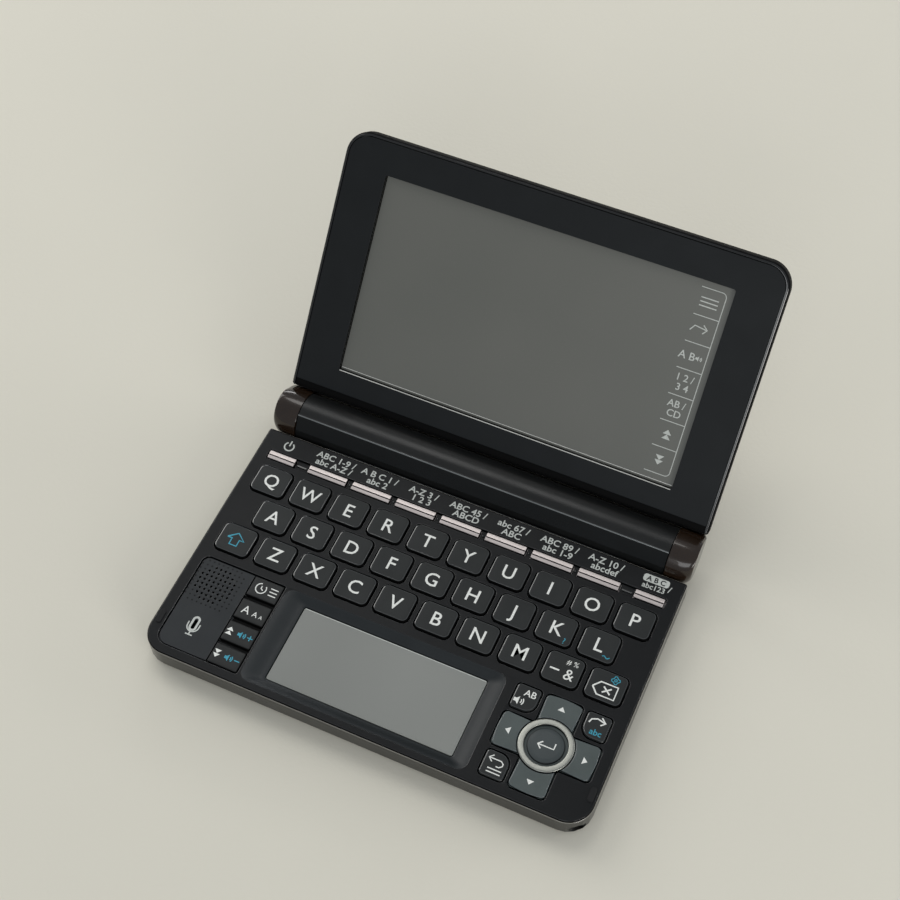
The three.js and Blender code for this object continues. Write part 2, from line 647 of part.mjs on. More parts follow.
// Tray of the bottom case with its feet, board bosses, stylus tunnel and the slots for the barrel lugs
function addCase() {
  const cavity = baseOutline(CASE_WALL);
  const tray = cut(solid(loft([
    [baseOutline(CASE_EDGE_R), FOOT_HEIGHT],
    [baseOutline(CASE_EDGE_R * (1 - Math.SQRT1_2)), FOOT_HEIGHT + CASE_EDGE_R * (1 - Math.SQRT1_2)],
    [baseOutline(0), FOOT_HEIGHT + CASE_EDGE_R],
    [baseOutline(0), CASE_TOP],
  ])), prism(cavity, FLOOR_TOP, CASE_TOP + OVERRUN));

  const feet = [FOOT_SIDE - HALF_WIDTH, HALF_WIDTH - FOOT_SIDE].map((x) => prism(
    centredBox(x, FOOT_FRONT, FOOT_LENGTH, FOOT_DEPTH, FOOT_DEPTH / 2, KEY_STEPS), 0, FLOOR_TOP));
  const bossYs = [BOARD[1] + BOSS_FRONT_INSET, BOARD[3] - BOSS_FRONT_INSET];
  const bosses = [BOARD[0] + BOSS_INSET, BOARD[2] - BOSS_INSET].flatMap((x) => bossYs.map((y) => prism(
    circle(x, y, BOSS_R, HOLE_STEPS * 2), FOOT_HEIGHT + CASE_FLOOR / 2, FLOOR_TOP + BOSS_HEIGHT)));
  const lugSeats = [-LUG_X, LUG_X].map((x) => prism(
    roundedBox(x - LUG_WIDTH / 2, LUG_FRONT, x + LUG_WIDTH / 2, BASE_DEPTH - CASE_WALL / 2, FIT_GAP, 1),
    FOOT_HEIGHT + CASE_FLOOR / 2, LUG_BOTTOM - FIT_GAP));
  const tunnelBlock = roundedBox(TUNNEL_LEFT, FRONT_CORNER_R, HALF_WIDTH - CASE_WALL / 2,
    TUNNEL_BACK + STYLUS_WALL, FIT_GAP, 1);
  const body = [...feet, ...bosses, ...lugSeats,
    prism(tunnelBlock, FOOT_HEIGHT + CASE_FLOOR / 2, STYLUS_Z + TUNNEL_R + STYLUS_ROOF),
  ].reduce((sum, item) => sum.add(solid(item)), tray);

  const bore = circle(STYLUS_X, STYLUS_Z, TUNNEL_R, ROUND_STEPS / 2);
  const lugSlots = [-LUG_X, LUG_X].map((x) => prism(
    roundedBox(x - LUG_WIDTH / 2 - FIT_GAP, BASE_DEPTH - CASE_WALL - FIT_GAP,
      x + LUG_WIDTH / 2 + FIT_GAP, BASE_DEPTH + OVERRUN, FIT_GAP, 1),
    LUG_BOTTOM - FIT_GAP, LUG_BOTTOM + LUG_THICK + FIT_GAP));
  place(base, 'base_bottom_case', skin(cut(body,
    loftAlongY([[bore, -OVERRUN], [bore, TUNNEL_BACK]]), ...lugSlots)), FINISH.shell());
}

function addBoard() {
  const [left, front, right, back] = BOARD;
  const matFront = SIDE_BACK + MAT_INSET;
  const outline = roundedBox(...BOARD, BOARD_CORNER_R, KEY_STEPS);
  const mat = roundedBox(left + MAT_INSET, matFront, right - MAT_INSET, back - FIT_GAP,
    BOARD_CORNER_R, KEY_STEPS);
  const sideMat = roundedBox(SIDE_KEY_LEFT, front + FIT_GAP, SIDE_KEY_LEFT + SIDE_KEY_WIDTH,
    matFront + FIT_GAP, BOARD_CORNER_R, KEY_STEPS);
  const matBottom = BOARD_TOP - BOARD_THICK / 2;
  place(base, 'main_board', skin(join(
    prism(outline, BOARD_BOTTOM, BOARD_TOP),
    prism(mat, matBottom, BOARD_TOP + MAT_THICK),
    prism(sideMat, matBottom, BOARD_TOP + MAT_THICK))), FINISH.board());
}

function addStylus() {
  const ring = (r) => circle(STYLUS_X, STYLUS_Z, r, ROUND_STEPS / 2);
  const back = STYLUS_FRONT + STYLUS_LENGTH;
  place(base, 'stylus', loftAlongY([
    [ring(STYLUS_R - STYLUS_HEAD_STEP), STYLUS_FRONT],
    [ring(STYLUS_R), STYLUS_FRONT + STYLUS_HEAD_STEP],
    [ring(STYLUS_R), STYLUS_FRONT + STYLUS_HEAD_LENGTH],
    [ring(STYLUS_R - STYLUS_HEAD_STEP), STYLUS_FRONT + STYLUS_HEAD_LENGTH + STYLUS_HEAD_STEP],
    [ring(STYLUS_R - STYLUS_HEAD_STEP), back - STYLUS_TIP_LENGTH],
    [ring(STYLUS_TIP_R), back],
  ]), FINISH.stylus());
}

// Section of the barrel round the hinge axis: round behind and below, one flat facet in front
function barrelOutline() {
  const crease = THREE.MathUtils.degToRad(CREASE_DEG);
  const [foot, chin] = [FACET_FOOT_SHARES, FACET_CHIN_SHARES].map(
    (shares) => new THREE.Vector2(...shares).multiplyScalar(BARREL_R));
  const chinDeg = THREE.MathUtils.radToDeg(chin.angle()) - 360;
  return [
    ...arcPoints(0, 0, BARREL_R, chinDeg + ARC_GAP_DEG, CREASE_DEG - ARC_GAP_DEG, ROUND_STEPS),
    new THREE.Vector2(CREASE_R * Math.cos(crease), CREASE_R * Math.sin(crease)),
    foot,
    chin,
  ];
}

function atHinge(points) {
  return points.map((p) => new THREE.Vector2(p.x + HINGE_Y, p.y + HINGE_Z));
}

// Upper shell of the barrel with solid ends, two lugs into the case and two rear feet;
// the battery cover is its lower half
function addBarrel() {
  const outline = atHinge(barrelOutline());
  const whole = () => loftAlongX([[outline, -BARREL_HALF], [outline, BARREL_HALF]]);
  const bore = atHinge(circle(CELL_BACK, -CELL_DROP, CELL_R + CELL_CLEARANCE));
  const splitZ = HINGE_Z - SPLIT_DROP;
  const bay = loftAlongX([[bore, -BAY_HALF], [bore, BAY_HALF]]);
  const lowHalf = (half, top) => prism(
    roundedBox(-half, HINGE_Y - 2 * BARREL_R, half, HINGE_Y + 2 * BARREL_R, FIT_GAP, 1), -OVERRUN, top);
  const journal = atHinge(circle(0, 0, JOURNAL_R + JOURNAL_CLEARANCE, ROUND_STEPS / 2));
  const sockets = [-1, 1].map((side) => {
    const ends = [BARREL_HALF - JOURNAL_LENGTH - FIT_GAP, BARREL_HALF + OVERRUN].map((x) => side * x);
    return loftAlongX(ends.sort((a, b) => a - b).map((x) => [journal, x]));
  });
  const lugs = [-LUG_X, LUG_X].map((x) => prism(
    roundedBox(x - LUG_WIDTH / 2, LUG_FRONT, x + LUG_WIDTH / 2, HINGE_Y - BARREL_R / 2, FIT_GAP, 1),
    LUG_BOTTOM, LUG_BOTTOM + LUG_THICK));
  const feet = [-LUG_X, LUG_X].map((x) => prism(
    centredBox(x, HINGE_Y, LUG_WIDTH, REAR_FOOT_DEPTH, BACK_CORNER_R, KEY_STEPS),
    0, FOOT_HEIGHT + REAR_FOOT_RISE));
  const ends = cut(solid(whole()), bay, lowHalf(BAY_HALF, splitZ), ...sockets);
  const shell = [...lugs, ...feet].reduce((sum, item) => sum.add(solid(item)), ends);
  place(base, 'hinge_barrel', skin(shell), FINISH.cover());

  const coverHalf = BAY_HALF - FIT_GAP;
  const coverTop = splitZ - FIT_GAP;
  const cover = solid(whole()).intersect(solid(lowHalf(coverHalf, coverTop))).subtract(solid(bay));
  place(base, 'battery_cover', skin(cover), FINISH.cover());

  const cell = (r) => atHinge(circle(CELL_BACK, -CELL_DROP, r));
  place(base, 'battery_cells', loftAlongX([
    [cell(CELL_R), -CELL_LENGTH - CELL_NUB_LENGTH / 2],
    [cell(CELL_R), -CELL_NUB_LENGTH / 2],
    [cell(CELL_NUB_R), -CELL_NUB_LENGTH / 2],
    [cell(CELL_NUB_R), CELL_NUB_LENGTH / 2],
    [cell(CELL_R), CELL_NUB_LENGTH / 2],
    [cell(CELL_R), CELL_LENGTH + CELL_NUB_LENGTH / 2],
    [cell(CELL_NUB_R), CELL_LENGTH + CELL_NUB_LENGTH / 2],
    [cell(CELL_NUB_R), CELL_LENGTH + 3 * CELL_NUB_LENGTH / 2],
  ]), FINISH.cell());
}

// Lid pieces: here X runs along the hinge, Y from the hinge to the lid's top edge, Z out of its face
function lidOutline(inset, heelInset = inset) {
  const half = HALF_WIDTH - inset;
  const top = Math.max(LID_CORNER_R - inset, BACK_CORNER_R);
  const heel = Math.max(LID_HEEL_R - heelInset, BACK_CORNER_R);
  return roundedBox(-half, LID_HEEL + heelInset, half, LID_HEEL + LID_LENGTH - inset, [heel, heel, top, top],
    CORNER_STEPS);
}

function screenBox(grow) {
  const half = HALF_WIDTH - BEZEL_SIDE + grow;
  return roundedBox(-half, LID_HEEL + BEZEL_HEEL - grow, half, LID_HEEL + LID_LENGTH - BEZEL_TOP + grow,
    SCREEN_R, KEY_STEPS);
}

// Section in (y, z) of the apron under the lid's heel, which hugs the barrel and closes the view through
function apronOutline() {
  const end = THREE.MathUtils.degToRad(APRON_END_DEG);
  const tailR = CREASE_R + APRON_GAP + APRON_TAIL;
  return [
    ...arcPoints(0, 0, CREASE_R + APRON_GAP, APRON_START_DEG, APRON_END_DEG, KEY_STEPS * 3),
    new THREE.Vector2(tailR * Math.cos(end), tailR * Math.sin(end)),
    new THREE.Vector2(LID_HEEL + APRON_ROOT, LID_BACK_R / 2 - LID_FACE - LID_THICK),
    new THREE.Vector2(LID_HEEL + APRON_ROOT, -LID_FACE - BEZEL_THICK - BEZEL_GAP),
  ];
}

function addLid() {
  const back = -LID_FACE - LID_THICK;
  const tongueSlots = [-1, 1].map((side) => prism(tongueOutline(side, FIT_GAP),
    -TONGUE_DEEP - FIT_GAP, CAP_TONGUE_THICK - TONGUE_DEEP + FIT_GAP));
  const shell = cut(
    solid(loft([
      [lidOutline(LID_BACK_R), back],
      [lidOutline(LID_BACK_R * (1 - Math.SQRT1_2)), back + LID_BACK_R * (1 - Math.SQRT1_2)],
      [lidOutline(0), back + LID_BACK_R],
      [lidOutline(0), -LID_FACE - LID_RIM_DROP],
      [lidOutline(LID_RIM - BEZEL_GAP), -LID_FACE],
    ])),
    prism(lidOutline(LID_RIM, -OVERRUN), -LID_FACE - BEZEL_THICK - BEZEL_GAP, OVERRUN),
    prism(lidOutline(LID_RIM + LID_WALL), back + LID_WALL, OVERRUN),
    ...tongueSlots);
  const apron = solid(loftAlongX([[apronOutline(), -CAP_INNER], [apronOutline(), CAP_INNER]]));
  place(lid, 'lid_back_cover', skin(shell.add(apron)), FINISH.shell());

  const bezelBack = -LID_FACE - BEZEL_THICK;
  place(lid, 'lid_bezel', skin(cut(
    solid(prism(lidOutline(LID_RIM + BEZEL_GAP, 0), bezelBack, -LID_FACE)),
    prism(screenBox(0), bezelBack - OVERRUN, -LID_FACE + OVERRUN))), FINISH.bezel());

  const displayTop = bezelBack - DISPLAY_GAP;
  place(lid, 'main_display', prism(screenBox(DISPLAY_MARGIN), displayTop - DISPLAY_THICK, displayTop),
    FINISH.screen());
}

function tongueOutline(side, grow) {
  const inner = CAP_INNER + CAP_TONGUE_INSET;
  const xs = [side * inner, side * (inner + CAP_TONGUE_WIDTH)];
  return roundedBox(Math.min(...xs) - grow, 0, Math.max(...xs) + grow,
    LID_HEEL + CAP_TONGUE_LENGTH + grow, FIT_GAP, 1);
}

// Section in (y, z) of a hinge cap: the barrel's circle, drawn out into the corner behind the lid's heel,
// and shrunk towards its apex by a scale
function capOutline(scale) {
  const corner = new THREE.Vector2(LID_HEEL - CAP_HEEL_GAP - CAP_HEEL_R, CAP_HEEL_R - BARREL_R);
  const lean = THREE.MathUtils.radToDeg(corner.angle()) - 360;
  const spread = THREE.MathUtils.radToDeg(Math.acos((BARREL_R - CAP_HEEL_R) / corner.length()));
  const apex = new THREE.Vector2(...CAP_APEX);
  return [
    ...arcPoints(0, 0, BARREL_R, lean + spread, lean - spread + 360, ROUND_STEPS),
    ...arcPoints(corner.x, corner.y, CAP_HEEL_R, lean - spread, lean + spread, CORNER_STEPS + 1).slice(1, -1),
  ].map((p) => p.sub(apex).multiplyScalar(scale).add(apex));
}

// Glossy end cap that turns with the lid: a rounded drum drawn out to the lid's heel, a journal into the
// barrel and a tongue into the back cover
function addCap(name, side) {
  const ring = (r) => circle(0, 0, r);
  const dome = [0, 22.5, 45, 67.5, 90].map((deg) => {
    const angle = THREE.MathUtils.degToRad(deg);
    const scale = 1 - (1 - CAP_END_SHARE) * (1 - Math.cos(angle));
    return [capOutline(scale), HALF_WIDTH - CAP_ROUND * (1 - Math.sin(angle))];
  });
  const drum = [[capOutline(1), CAP_INNER], ...dome];
  const journal = [[ring(JOURNAL_R), BARREL_HALF - JOURNAL_LENGTH], [ring(JOURNAL_R), CAP_INNER + OVERRUN]];
  const mirror = (sections) => sections.map(([points, x]) => [points, side * x]).sort((a, b) => a[1] - b[1]);
  place(lid, name, skin(join(
    loftAlongX(mirror(drum)),
    loftAlongX(mirror(journal)),
    prism(tongueOutline(side, 0), -TONGUE_DEEP, CAP_TONGUE_THICK - TONGUE_DEEP))), FINISH.cap());
}

addMainKeys();
addBars();
addSideKeys();
addCornerKeys();
addCursor();
addCover();
addCase();
addBoard();
addStylus();
addBarrel();
addLid();
addCap('hinge_cap_left', -1);
addCap('hinge_cap_right', 1);

// Stand the open device over the origin
device.updateMatrixWorld(true);
const bounds = new THREE.Box3().setFromObject(device, true);
const middle = bounds.getCenter(new THREE.Vector3());
device.position.set(-middle.x, -middle.y, -bounds.min.z);

export default device;
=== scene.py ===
import json
import math

import bmesh
import bpy
from mathutils import Matrix, Vector

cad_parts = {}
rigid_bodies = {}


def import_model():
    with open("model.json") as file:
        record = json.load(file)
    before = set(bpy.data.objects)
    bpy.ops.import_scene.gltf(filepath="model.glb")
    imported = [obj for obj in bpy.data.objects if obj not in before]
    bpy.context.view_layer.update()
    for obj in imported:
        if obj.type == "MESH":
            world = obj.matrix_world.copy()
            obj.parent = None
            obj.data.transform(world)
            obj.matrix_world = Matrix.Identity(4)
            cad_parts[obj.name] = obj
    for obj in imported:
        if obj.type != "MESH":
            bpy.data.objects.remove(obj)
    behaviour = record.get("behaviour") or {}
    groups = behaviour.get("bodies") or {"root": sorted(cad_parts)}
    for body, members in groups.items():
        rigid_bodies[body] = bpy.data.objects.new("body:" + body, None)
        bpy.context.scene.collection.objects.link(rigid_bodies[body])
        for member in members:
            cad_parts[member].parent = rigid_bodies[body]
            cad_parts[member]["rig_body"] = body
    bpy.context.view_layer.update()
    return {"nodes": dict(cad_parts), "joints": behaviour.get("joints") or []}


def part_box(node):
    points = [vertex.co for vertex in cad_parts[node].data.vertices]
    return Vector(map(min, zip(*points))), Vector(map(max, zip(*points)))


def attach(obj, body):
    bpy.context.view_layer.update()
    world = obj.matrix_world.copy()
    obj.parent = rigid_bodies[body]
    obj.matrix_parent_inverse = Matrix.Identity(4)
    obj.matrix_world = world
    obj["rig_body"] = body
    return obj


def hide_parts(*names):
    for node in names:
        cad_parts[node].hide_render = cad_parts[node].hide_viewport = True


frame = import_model()

# Lengths are millimetres on a sheet: the base's sheet starts at the middle of its front edge on the table,
# the lid's sheet at the hinge, with Y towards the lid's top edge and Z out of its face.
MM = 0.001
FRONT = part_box("base_bottom_case")[0].y
HINGE = next(joint for joint in frame["joints"] if joint["name"] == "lid_hinge")
LID_OPEN = 129
LID_TILT = math.radians(180 - LID_OPEN)
BASE = Matrix.Translation((0, FRONT, 0)) @ Matrix.Scale(MM, 4)
LID = Matrix.Translation(HINGE["pos_m"]) @ Matrix.Rotation(LID_TILT, 4, "X") @ Matrix.Scale(MM, 4)
# Lays a section drawn as (-z, y) along X
ALONG = Matrix.Rotation(math.pi / 2, 4, "Y")

# Heights over the table
COVER_TOP = 10.0
COVER_UNDER = 8.5
FLANGE_BOTTOM = 7.4
FLANGE_TOP = 8.3
# Depths of the lid's surfaces under the hinge line
LID_FACE = -2.03
DISPLAY_FACE = -3.23
LID_HEEL = 8.9
HALF_WIDTH = 74.0
# Height of printed ink over its surface, and its thickness
PRINT = 0.012
PRINT_THICK = 0.03
# Points this close are one point, on a sheet and on a node
WELD = 0.0005
SAME_POINT = 0.0001
# Bends in degrees: flat enough to merge two faces, a crease to ease, and an edge that shades sharp
FLAT_BEND = 0.6
CREASE_BEND = 12
SHARP_BEND = 32


# Outlines: lists of (x, y), anticlockwise
def arc(x, y, r, start, end, steps):
    turns = [math.radians(start + (end - start) * k / steps) for k in range(steps + 1)]
    return [(x + r * math.cos(t), y + r * math.sin(t)) for t in turns]


def circle(x, y, r, steps=48):
    return arc(x, y, r, 0, 360, steps)[:-1]


def four(radii):
    return radii if isinstance(radii, list) else [radii] * 4


def rounded(left, front, right, back, radii, steps=7):
    fl, fr, br, bl = four(radii)
    return (arc(left + fl, front + fl, fl, 180, 270, steps) + arc(right - fr, front + fr, fr, 270, 360, steps)
            + arc(right - br, back - br, br, 0, 90, steps) + arc(left + bl, back - bl, bl, 90, 180, steps))


def grown(edges, by, radii, steps=7):
    left, front, right, back = edges
    radii = [max(r + by, 0.05) for r in four(radii)]
    return rounded(left - by, front - by, right + by, back + by, radii, steps)


def growing(edges, radii):
    """A rounded outline that takes how far it has grown."""
    def outline(by):
        return grown(edges, by, radii)
    return outline


def moved(points, x, y):
    return [(x + px, y + py) for px, py in points]


def turned(points, degrees):
    c, s = math.cos(math.radians(degrees)), math.sin(math.radians(degrees))
    return [(x * c - y * s, x * s + y * c) for x, y in points]


def between(a, b, share):
    return [(p[0] + (q[0] - p[0]) * share, p[1] + (q[1] - p[1]) * share) for p, q in zip(a, b)]


def edges_of(node, flange):
    """Left, front, right and back of a node's cap in plan, with the flange under it left out."""
    low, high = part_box(node)
    return (low.x / MM + flange, (low.y - FRONT) / MM + flange,
            high.x / MM - flange, (high.y - FRONT) / MM - flange)


def middle_of(node):
    left, front, right, back = edges_of(node, 0)
    return (left + right) / 2, (front + back) / 2


def top_of(node):
    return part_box(node)[1].z / MM


def lay_accents(mesh, accents, to_sheet=Matrix.Identity(4)):
    """Gives faces a further finish where its test on their middle and normal holds. Later tests win."""
    mesh.normal_update()
    turn = to_sheet.to_3x3()
    for face in mesh.faces:
        middle = to_sheet @ face.calc_center_median()
        normal = (turn @ face.normal).normalized()
        for index, (_, test) in enumerate(accents, 1):
            if test(middle, normal):
                face.material_index = index


def mark_creases(mesh, test, to_sheet):
    """Marks for easing the creases whose middle on the sheet passes a test."""
    weight = mesh.edges.layers.float.new("bevel_weight_edge")
    for edge in mesh.edges:
        if edge.is_manifold and edge.calc_face_angle() > math.radians(CREASE_BEND):
            edge[weight] = float(test(to_sheet @ ((edge.verts[0].co + edge.verts[1].co) / 2)))


def new_object(name, data):
    thing = bpy.data.objects.new(name, data)
    bpy.context.scene.collection.objects.link(thing)
    return thing


def as_object(mesh, name, materials, edge=0.0, sharp=SHARP_BEND, marked=False):
    """Object from gathered shapes. Edges may be eased, all or the marked ones, in the last material."""
    shape = bpy.data.meshes.new(name)
    mesh.to_mesh(shape)
    mesh.free()
    shape.shade_smooth()
    shape.set_sharp_from_angle(angle=math.radians(sharp))
    for material in materials:
        shape.materials.append(material)
    thing = new_object(name, shape)
    if edge:
        ease = thing.modifiers.new("edge", "BEVEL")
        ease.width = edge * MM
        ease.segments = 4 if marked else 3
        ease.limit_method = "WEIGHT" if marked else "ANGLE"
        ease.angle_limit = math.radians(sharp)
        ease.use_clamp_overlap = not marked
        ease.material = len(materials) - 1
    even = thing.modifiers.new("even", "WEIGHTED_NORMAL")
    even.keep_sharp = True
    return thing


def add_spline(curve, points, loop):
    """Straight runs through points of a curve's sheet."""
    spline = curve.splines.new("POLY")
    spline.points.add(len(points) - 1)
    for point, (x, y) in zip(spline.points, points):
        point.co = (x, y, 0, 1)
    spline.use_cyclic_u = loop


class Piece:
    """Gathers closed shapes on one sheet and makes one object of them."""

    def __init__(self, name, sheet=BASE):
        self.name = name
        self.sheet = sheet
        self.mesh = bmesh.new()

    def loft(self, sections, closed=False, turn=None):
        """Skin through outlines of equal point count, each at its own height.

        The ends are capped, or joined to each other where closed.
        """
        rings = [[self.mesh.verts.new((x, y, z)) for x, y in outline] for outline, z in sections]
        count = len(rings[0])
        pairs = list(zip(rings, rings[1:])) + ([(rings[-1], rings[0])] if closed else [])
        faces = []
        for low, high in pairs:
            for i in range(count):
                j = (i + 1) % count
                faces.append(self.mesh.faces.new((low[i], low[j], high[j], high[i])))
        if not closed:
            faces.append(self.mesh.faces.new(rings[0][::-1]))
            faces.append(self.mesh.faces.new(rings[-1]))
        if turn is not None:
            bmesh.ops.transform(self.mesh, matrix=turn, verts=[v for ring in rings for v in ring])
        bmesh.ops.recalc_face_normals(self.mesh, faces=faces)

    def lathe(self, profile, x, y, steps):
        """Turned shape from (radius, height) pairs, round an upright axis."""
        self.loft([(circle(x, y, max(r, 0.01), steps), z) for r, z in profile])

    def plate(self, outlines, bottom, top, rim):
        """Flat plate with holes and a fine rounded rim. The first outline is the plate's own edge."""
        curve = bpy.data.curves.new("plate", "CURVE")
        curve.dimensions = "2D"
        curve.fill_mode = "BOTH"
        curve.extrude = (top - bottom) / 2 - rim
        curve.bevel_depth = rim
        curve.bevel_resolution = 2
        curve.offset = -rim
        for outline in outlines:
            add_spline(curve, outline, True)
        self.take(curve, Matrix.Translation((0, 0, (top + bottom) / 2)))

    def take(self, curve, move):
        """Adds a curve or a text as mesh and frees it."""
        holder = new_object("holder", curve)
        solid = holder.evaluated_get(bpy.context.evaluated_depsgraph_get())
        shape = bpy.data.meshes.new_from_object(solid)
        shape.transform(move)
        self.mesh.from_mesh(shape)
        bpy.data.objects.remove(holder)
        bpy.data.meshes.remove(shape)

    def word(self, text, x, y, z, height, wide=1.0, bold=0.0):
        """Plain letter or number, centred on a place, of a given capital height."""
        font = bpy.data.curves.new("word", "FONT")
        font.body = text
        font.align_x = "CENTER"
        font.size = height / CAPITAL
        font.extrude = PRINT_THICK / 2
        font.offset = bold
        font.resolution_u = 3
        stretch = Matrix.Diagonal((wide, 1, 1, 1))
        self.take(font, Matrix.Translation((x, y - height / 2, z)) @ stretch)

    def line(self, points, z, width, thick=0.06, loop=False):
        """Printed stroke: a thin flat tube along points."""
        curve = bpy.data.curves.new("stroke", "CURVE")
        curve.dimensions = "3D"
        curve.bevel_depth = width / 2
        curve.bevel_resolution = 2
        curve.use_fill_caps = True
        add_spline(curve, points, loop)
        flatten = Matrix.Diagonal((1, 1, thick / width, 1))
        self.take(curve, Matrix.Translation((0, 0, z)) @ flatten)

    def strokes(self, lines, place, z, width):
        """Printed strokes whose points count from a place."""
        for points in lines:
            self.line(moved(points, *place), z, width)

    def patch(self, outline, z):
        """Printed filled shape."""
        self.loft([(outline, z - PRINT_THICK), (outline, z + PRINT_THICK / 2)])

    def finish(self, material, body, slot, replaces=(), accents=()):
        """Makes the object: its finishes, the body it moves with and the nodes it stands for. The slot is not
        used.
        """
        bmesh.ops.remove_doubles(self.mesh, verts=self.mesh.verts, dist=WELD)
        lay_accents(self.mesh, accents)
        bmesh.ops.transform(self.mesh, matrix=self.sheet, verts=self.mesh.verts)
        thing = as_object(self.mesh, self.name, [material] + [accent for accent, _ in accents])
        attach(thing, body)
        if replaces:
            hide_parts(*replaces)


def capital_share():
    """Height of a capital in the built-in letters, as a share of their size."""
    font = bpy.data.curves.new("measure", "FONT")
    font.body = "H"
    holder = new_object("measure", font)
    bpy.context.view_layer.update()
    share = holder.dimensions.y
    bpy.data.objects.remove(holder)
    return share


CAPITAL = capital_share()


# Materials
class Value:
    """A socket of a material's graph that takes part in sums."""

    def __init__(self, graph, socket):
        self.graph = graph
        self.socket = socket

    def __add__(self, other):
        return self.graph.sum("ADD", self, other)

    def __radd__(self, other):
        return self.graph.sum("ADD", other, self)

    def __sub__(self, other):
        return self.graph.sum("SUBTRACT", self, other)

    def __rsub__(self, other):
        return self.graph.sum("SUBTRACT", other, self)

    def __mul__(self, other):
        return self.graph.sum("MULTIPLY", self, other)

    def __rmul__(self, other):
        return self.graph.sum("MULTIPLY", other, self)


class Graph:
    """A material and the nodes that make it up."""

    def __init__(self, name):
        self.material = bpy.data.materials.new(name)
        self.material.use_nodes = True
        self.tree = self.material.node_tree
        self.tree.nodes.clear()

    def node(self, kind, settings=None, inputs=None, output=0):
        """Adds a node: its settings first, then the values or links of its sockets."""
        node = self.tree.nodes.new(kind)
        for key, value in (settings or {}).items():
            if key == "stops":
                while len(node.color_ramp.elements) < len(value):
                    node.color_ramp.elements.new(0.5)
                for stop, (place, level) in zip(node.color_ramp.elements, value):
                    stop.position = place
                    stop.color = (level, level, level, 1)
            else:
                setattr(node, key, value)
        for key, value in (inputs or {}).items():
            if isinstance(value, Value):
                self.tree.links.new(value.socket, node.inputs[key])
            else:
                node.inputs[key].default_value = value
        return Value(self, node.outputs[output]) if len(node.outputs) else None

    def sum(self, operation, a, b):
        return self.node("ShaderNodeMath", {"operation": operation}, {0: a, 1: b})

    def place(self, stretch=(1, 1, 1)):
        """Place on the piece, in metres, stretched for brushed finishes."""
        point = self.node("ShaderNodeTexCoord", output="Object")
        return self.node("ShaderNodeMapping", None, {"Vector": point, "Scale": stretch})

    def noise(self, size, detail=3, stretch=(1, 1, 1)):
        """Cloudy pattern with blots of about a size in millimetres, from 0 to 1."""
        return self.node("ShaderNodeTexNoise", None, {
            "Vector": self.place(stretch), "Scale": 1 / (size * MM), "Detail": detail})

    def cells(self, size):
        return self.node("ShaderNodeTexVoronoi", None, {"Vector": self.place(), "Scale": 1 / (size * MM)})

    def ramp(self, value, *stops):
        return self.node("ShaderNodeValToRGB", {"stops": stops}, {"Fac": value})

    def mix(self, share, a, b):
        """Blend of two colours, each a tone or a link."""
        a, b = [shade(c) if isinstance(c, tuple) else c for c in (a, b)]
        return self.node("ShaderNodeMix", {"data_type": "RGBA"}, {0: share, 6: a, 7: b}, output=2)

    def bump(self, height, depth):
        """Relief of a depth in millimetres."""
        return self.node("ShaderNodeBump", None, {"Height": height, "Distance": depth * MM, "Strength": 1})

    def surface(self, inputs):
        """Ends the graph in one surface and gives its material."""
        shader = self.node("ShaderNodeBsdfPrincipled", None, inputs)
        self.node("ShaderNodeOutputMaterial", None, {"Surface": shader})
        return self.material


def shade(tone):
    """Shader colour of a tone as it looks on the screen, 0 to 255."""
    parts = [c / 255 for c in tone]
    return [c / 12.92 if c <= 0.04045 else ((c + 0.055) / 1.055) ** 2.4 for c in parts] + [1]


# How far a smear lifts the roughness of moulded plastic
SMEAR = 0.06


def moulded(name, dark, light, rough, grain=0.18, depth=0.012, gloss=0.5, coat=0.0, metal=0.0):
    """Moulded plastic: fine sparked grain, slow cloudy tone, a few smears in the gloss."""
    g = Graph(name)
    tone = g.noise(9, 4)
    speck = g.noise(grain * 2.2, 2)
    colour = g.mix(g.ramp(tone * 0.65 + speck * 0.35, (0.3, 0), (0.7, 1)), dark, light)
    rub = g.ramp(g.noise(22, 5), (0.45, 0), (0.7, 1))
    roughness = rub * SMEAR + (rough - SMEAR / 2)
    return g.surface({
        "Base Color": colour, "Roughness": roughness, "Metallic": metal, "Specular IOR Level": gloss,
        "Coat Weight": coat, "Coat Roughness": 0.06, "Normal": g.bump(g.noise(grain), depth)})


def brushed(name, dark, light, rough, stretch, size=0.6, depth=0.004, metal=1.0):
    """Metal or metal-look finish with fine marks along one direction."""
    g = Graph(name)
    marks = g.noise(size, 5, stretch)
    cloud = g.noise(4, 3)
    colour = g.mix(marks * 0.6 + cloud * 0.4, dark, light)
    return g.surface({
        "Base Color": colour, "Roughness": marks * 0.14 + (rough - 0.07), "Metallic": metal,
        "Normal": g.bump(marks, depth)})


def film(name, dark, light, rough, gloss, coat):
    """Display film: even tone with a slow drift, a faint haze and a barely rippled surface."""
    g = Graph(name)
    drift = g.noise(60, 2)
    haze = g.noise(0.25, 2)
    colour = g.mix(g.ramp(drift * 0.85 + haze * 0.15, (0.25, 0), (0.75, 1)), dark, light)
    return g.surface({
        "Base Color": colour, "Roughness": haze * 0.02 + rough, "Specular IOR Level": gloss,
        "Coat Weight": coat, "Coat Roughness": 0.1, "Normal": g.bump(haze, 0.002)})


def ink(name, colour):
    """Printed legend: slightly uneven paint."""
    g = Graph(name)
    blot = g.noise(0.5)
    paint = shade(colour)
    worn = [c * 0.82 for c in paint[:3]] + [1]
    return g.surface({
        "Base Color": g.mix(g.ramp(blot, (0.3, 0), (0.55, 1)), worn, paint), "Roughness": blot * 0.1 + 0.45,
        "Specular IOR Level": 0.3, "Normal": g.bump(blot, 0.004)})


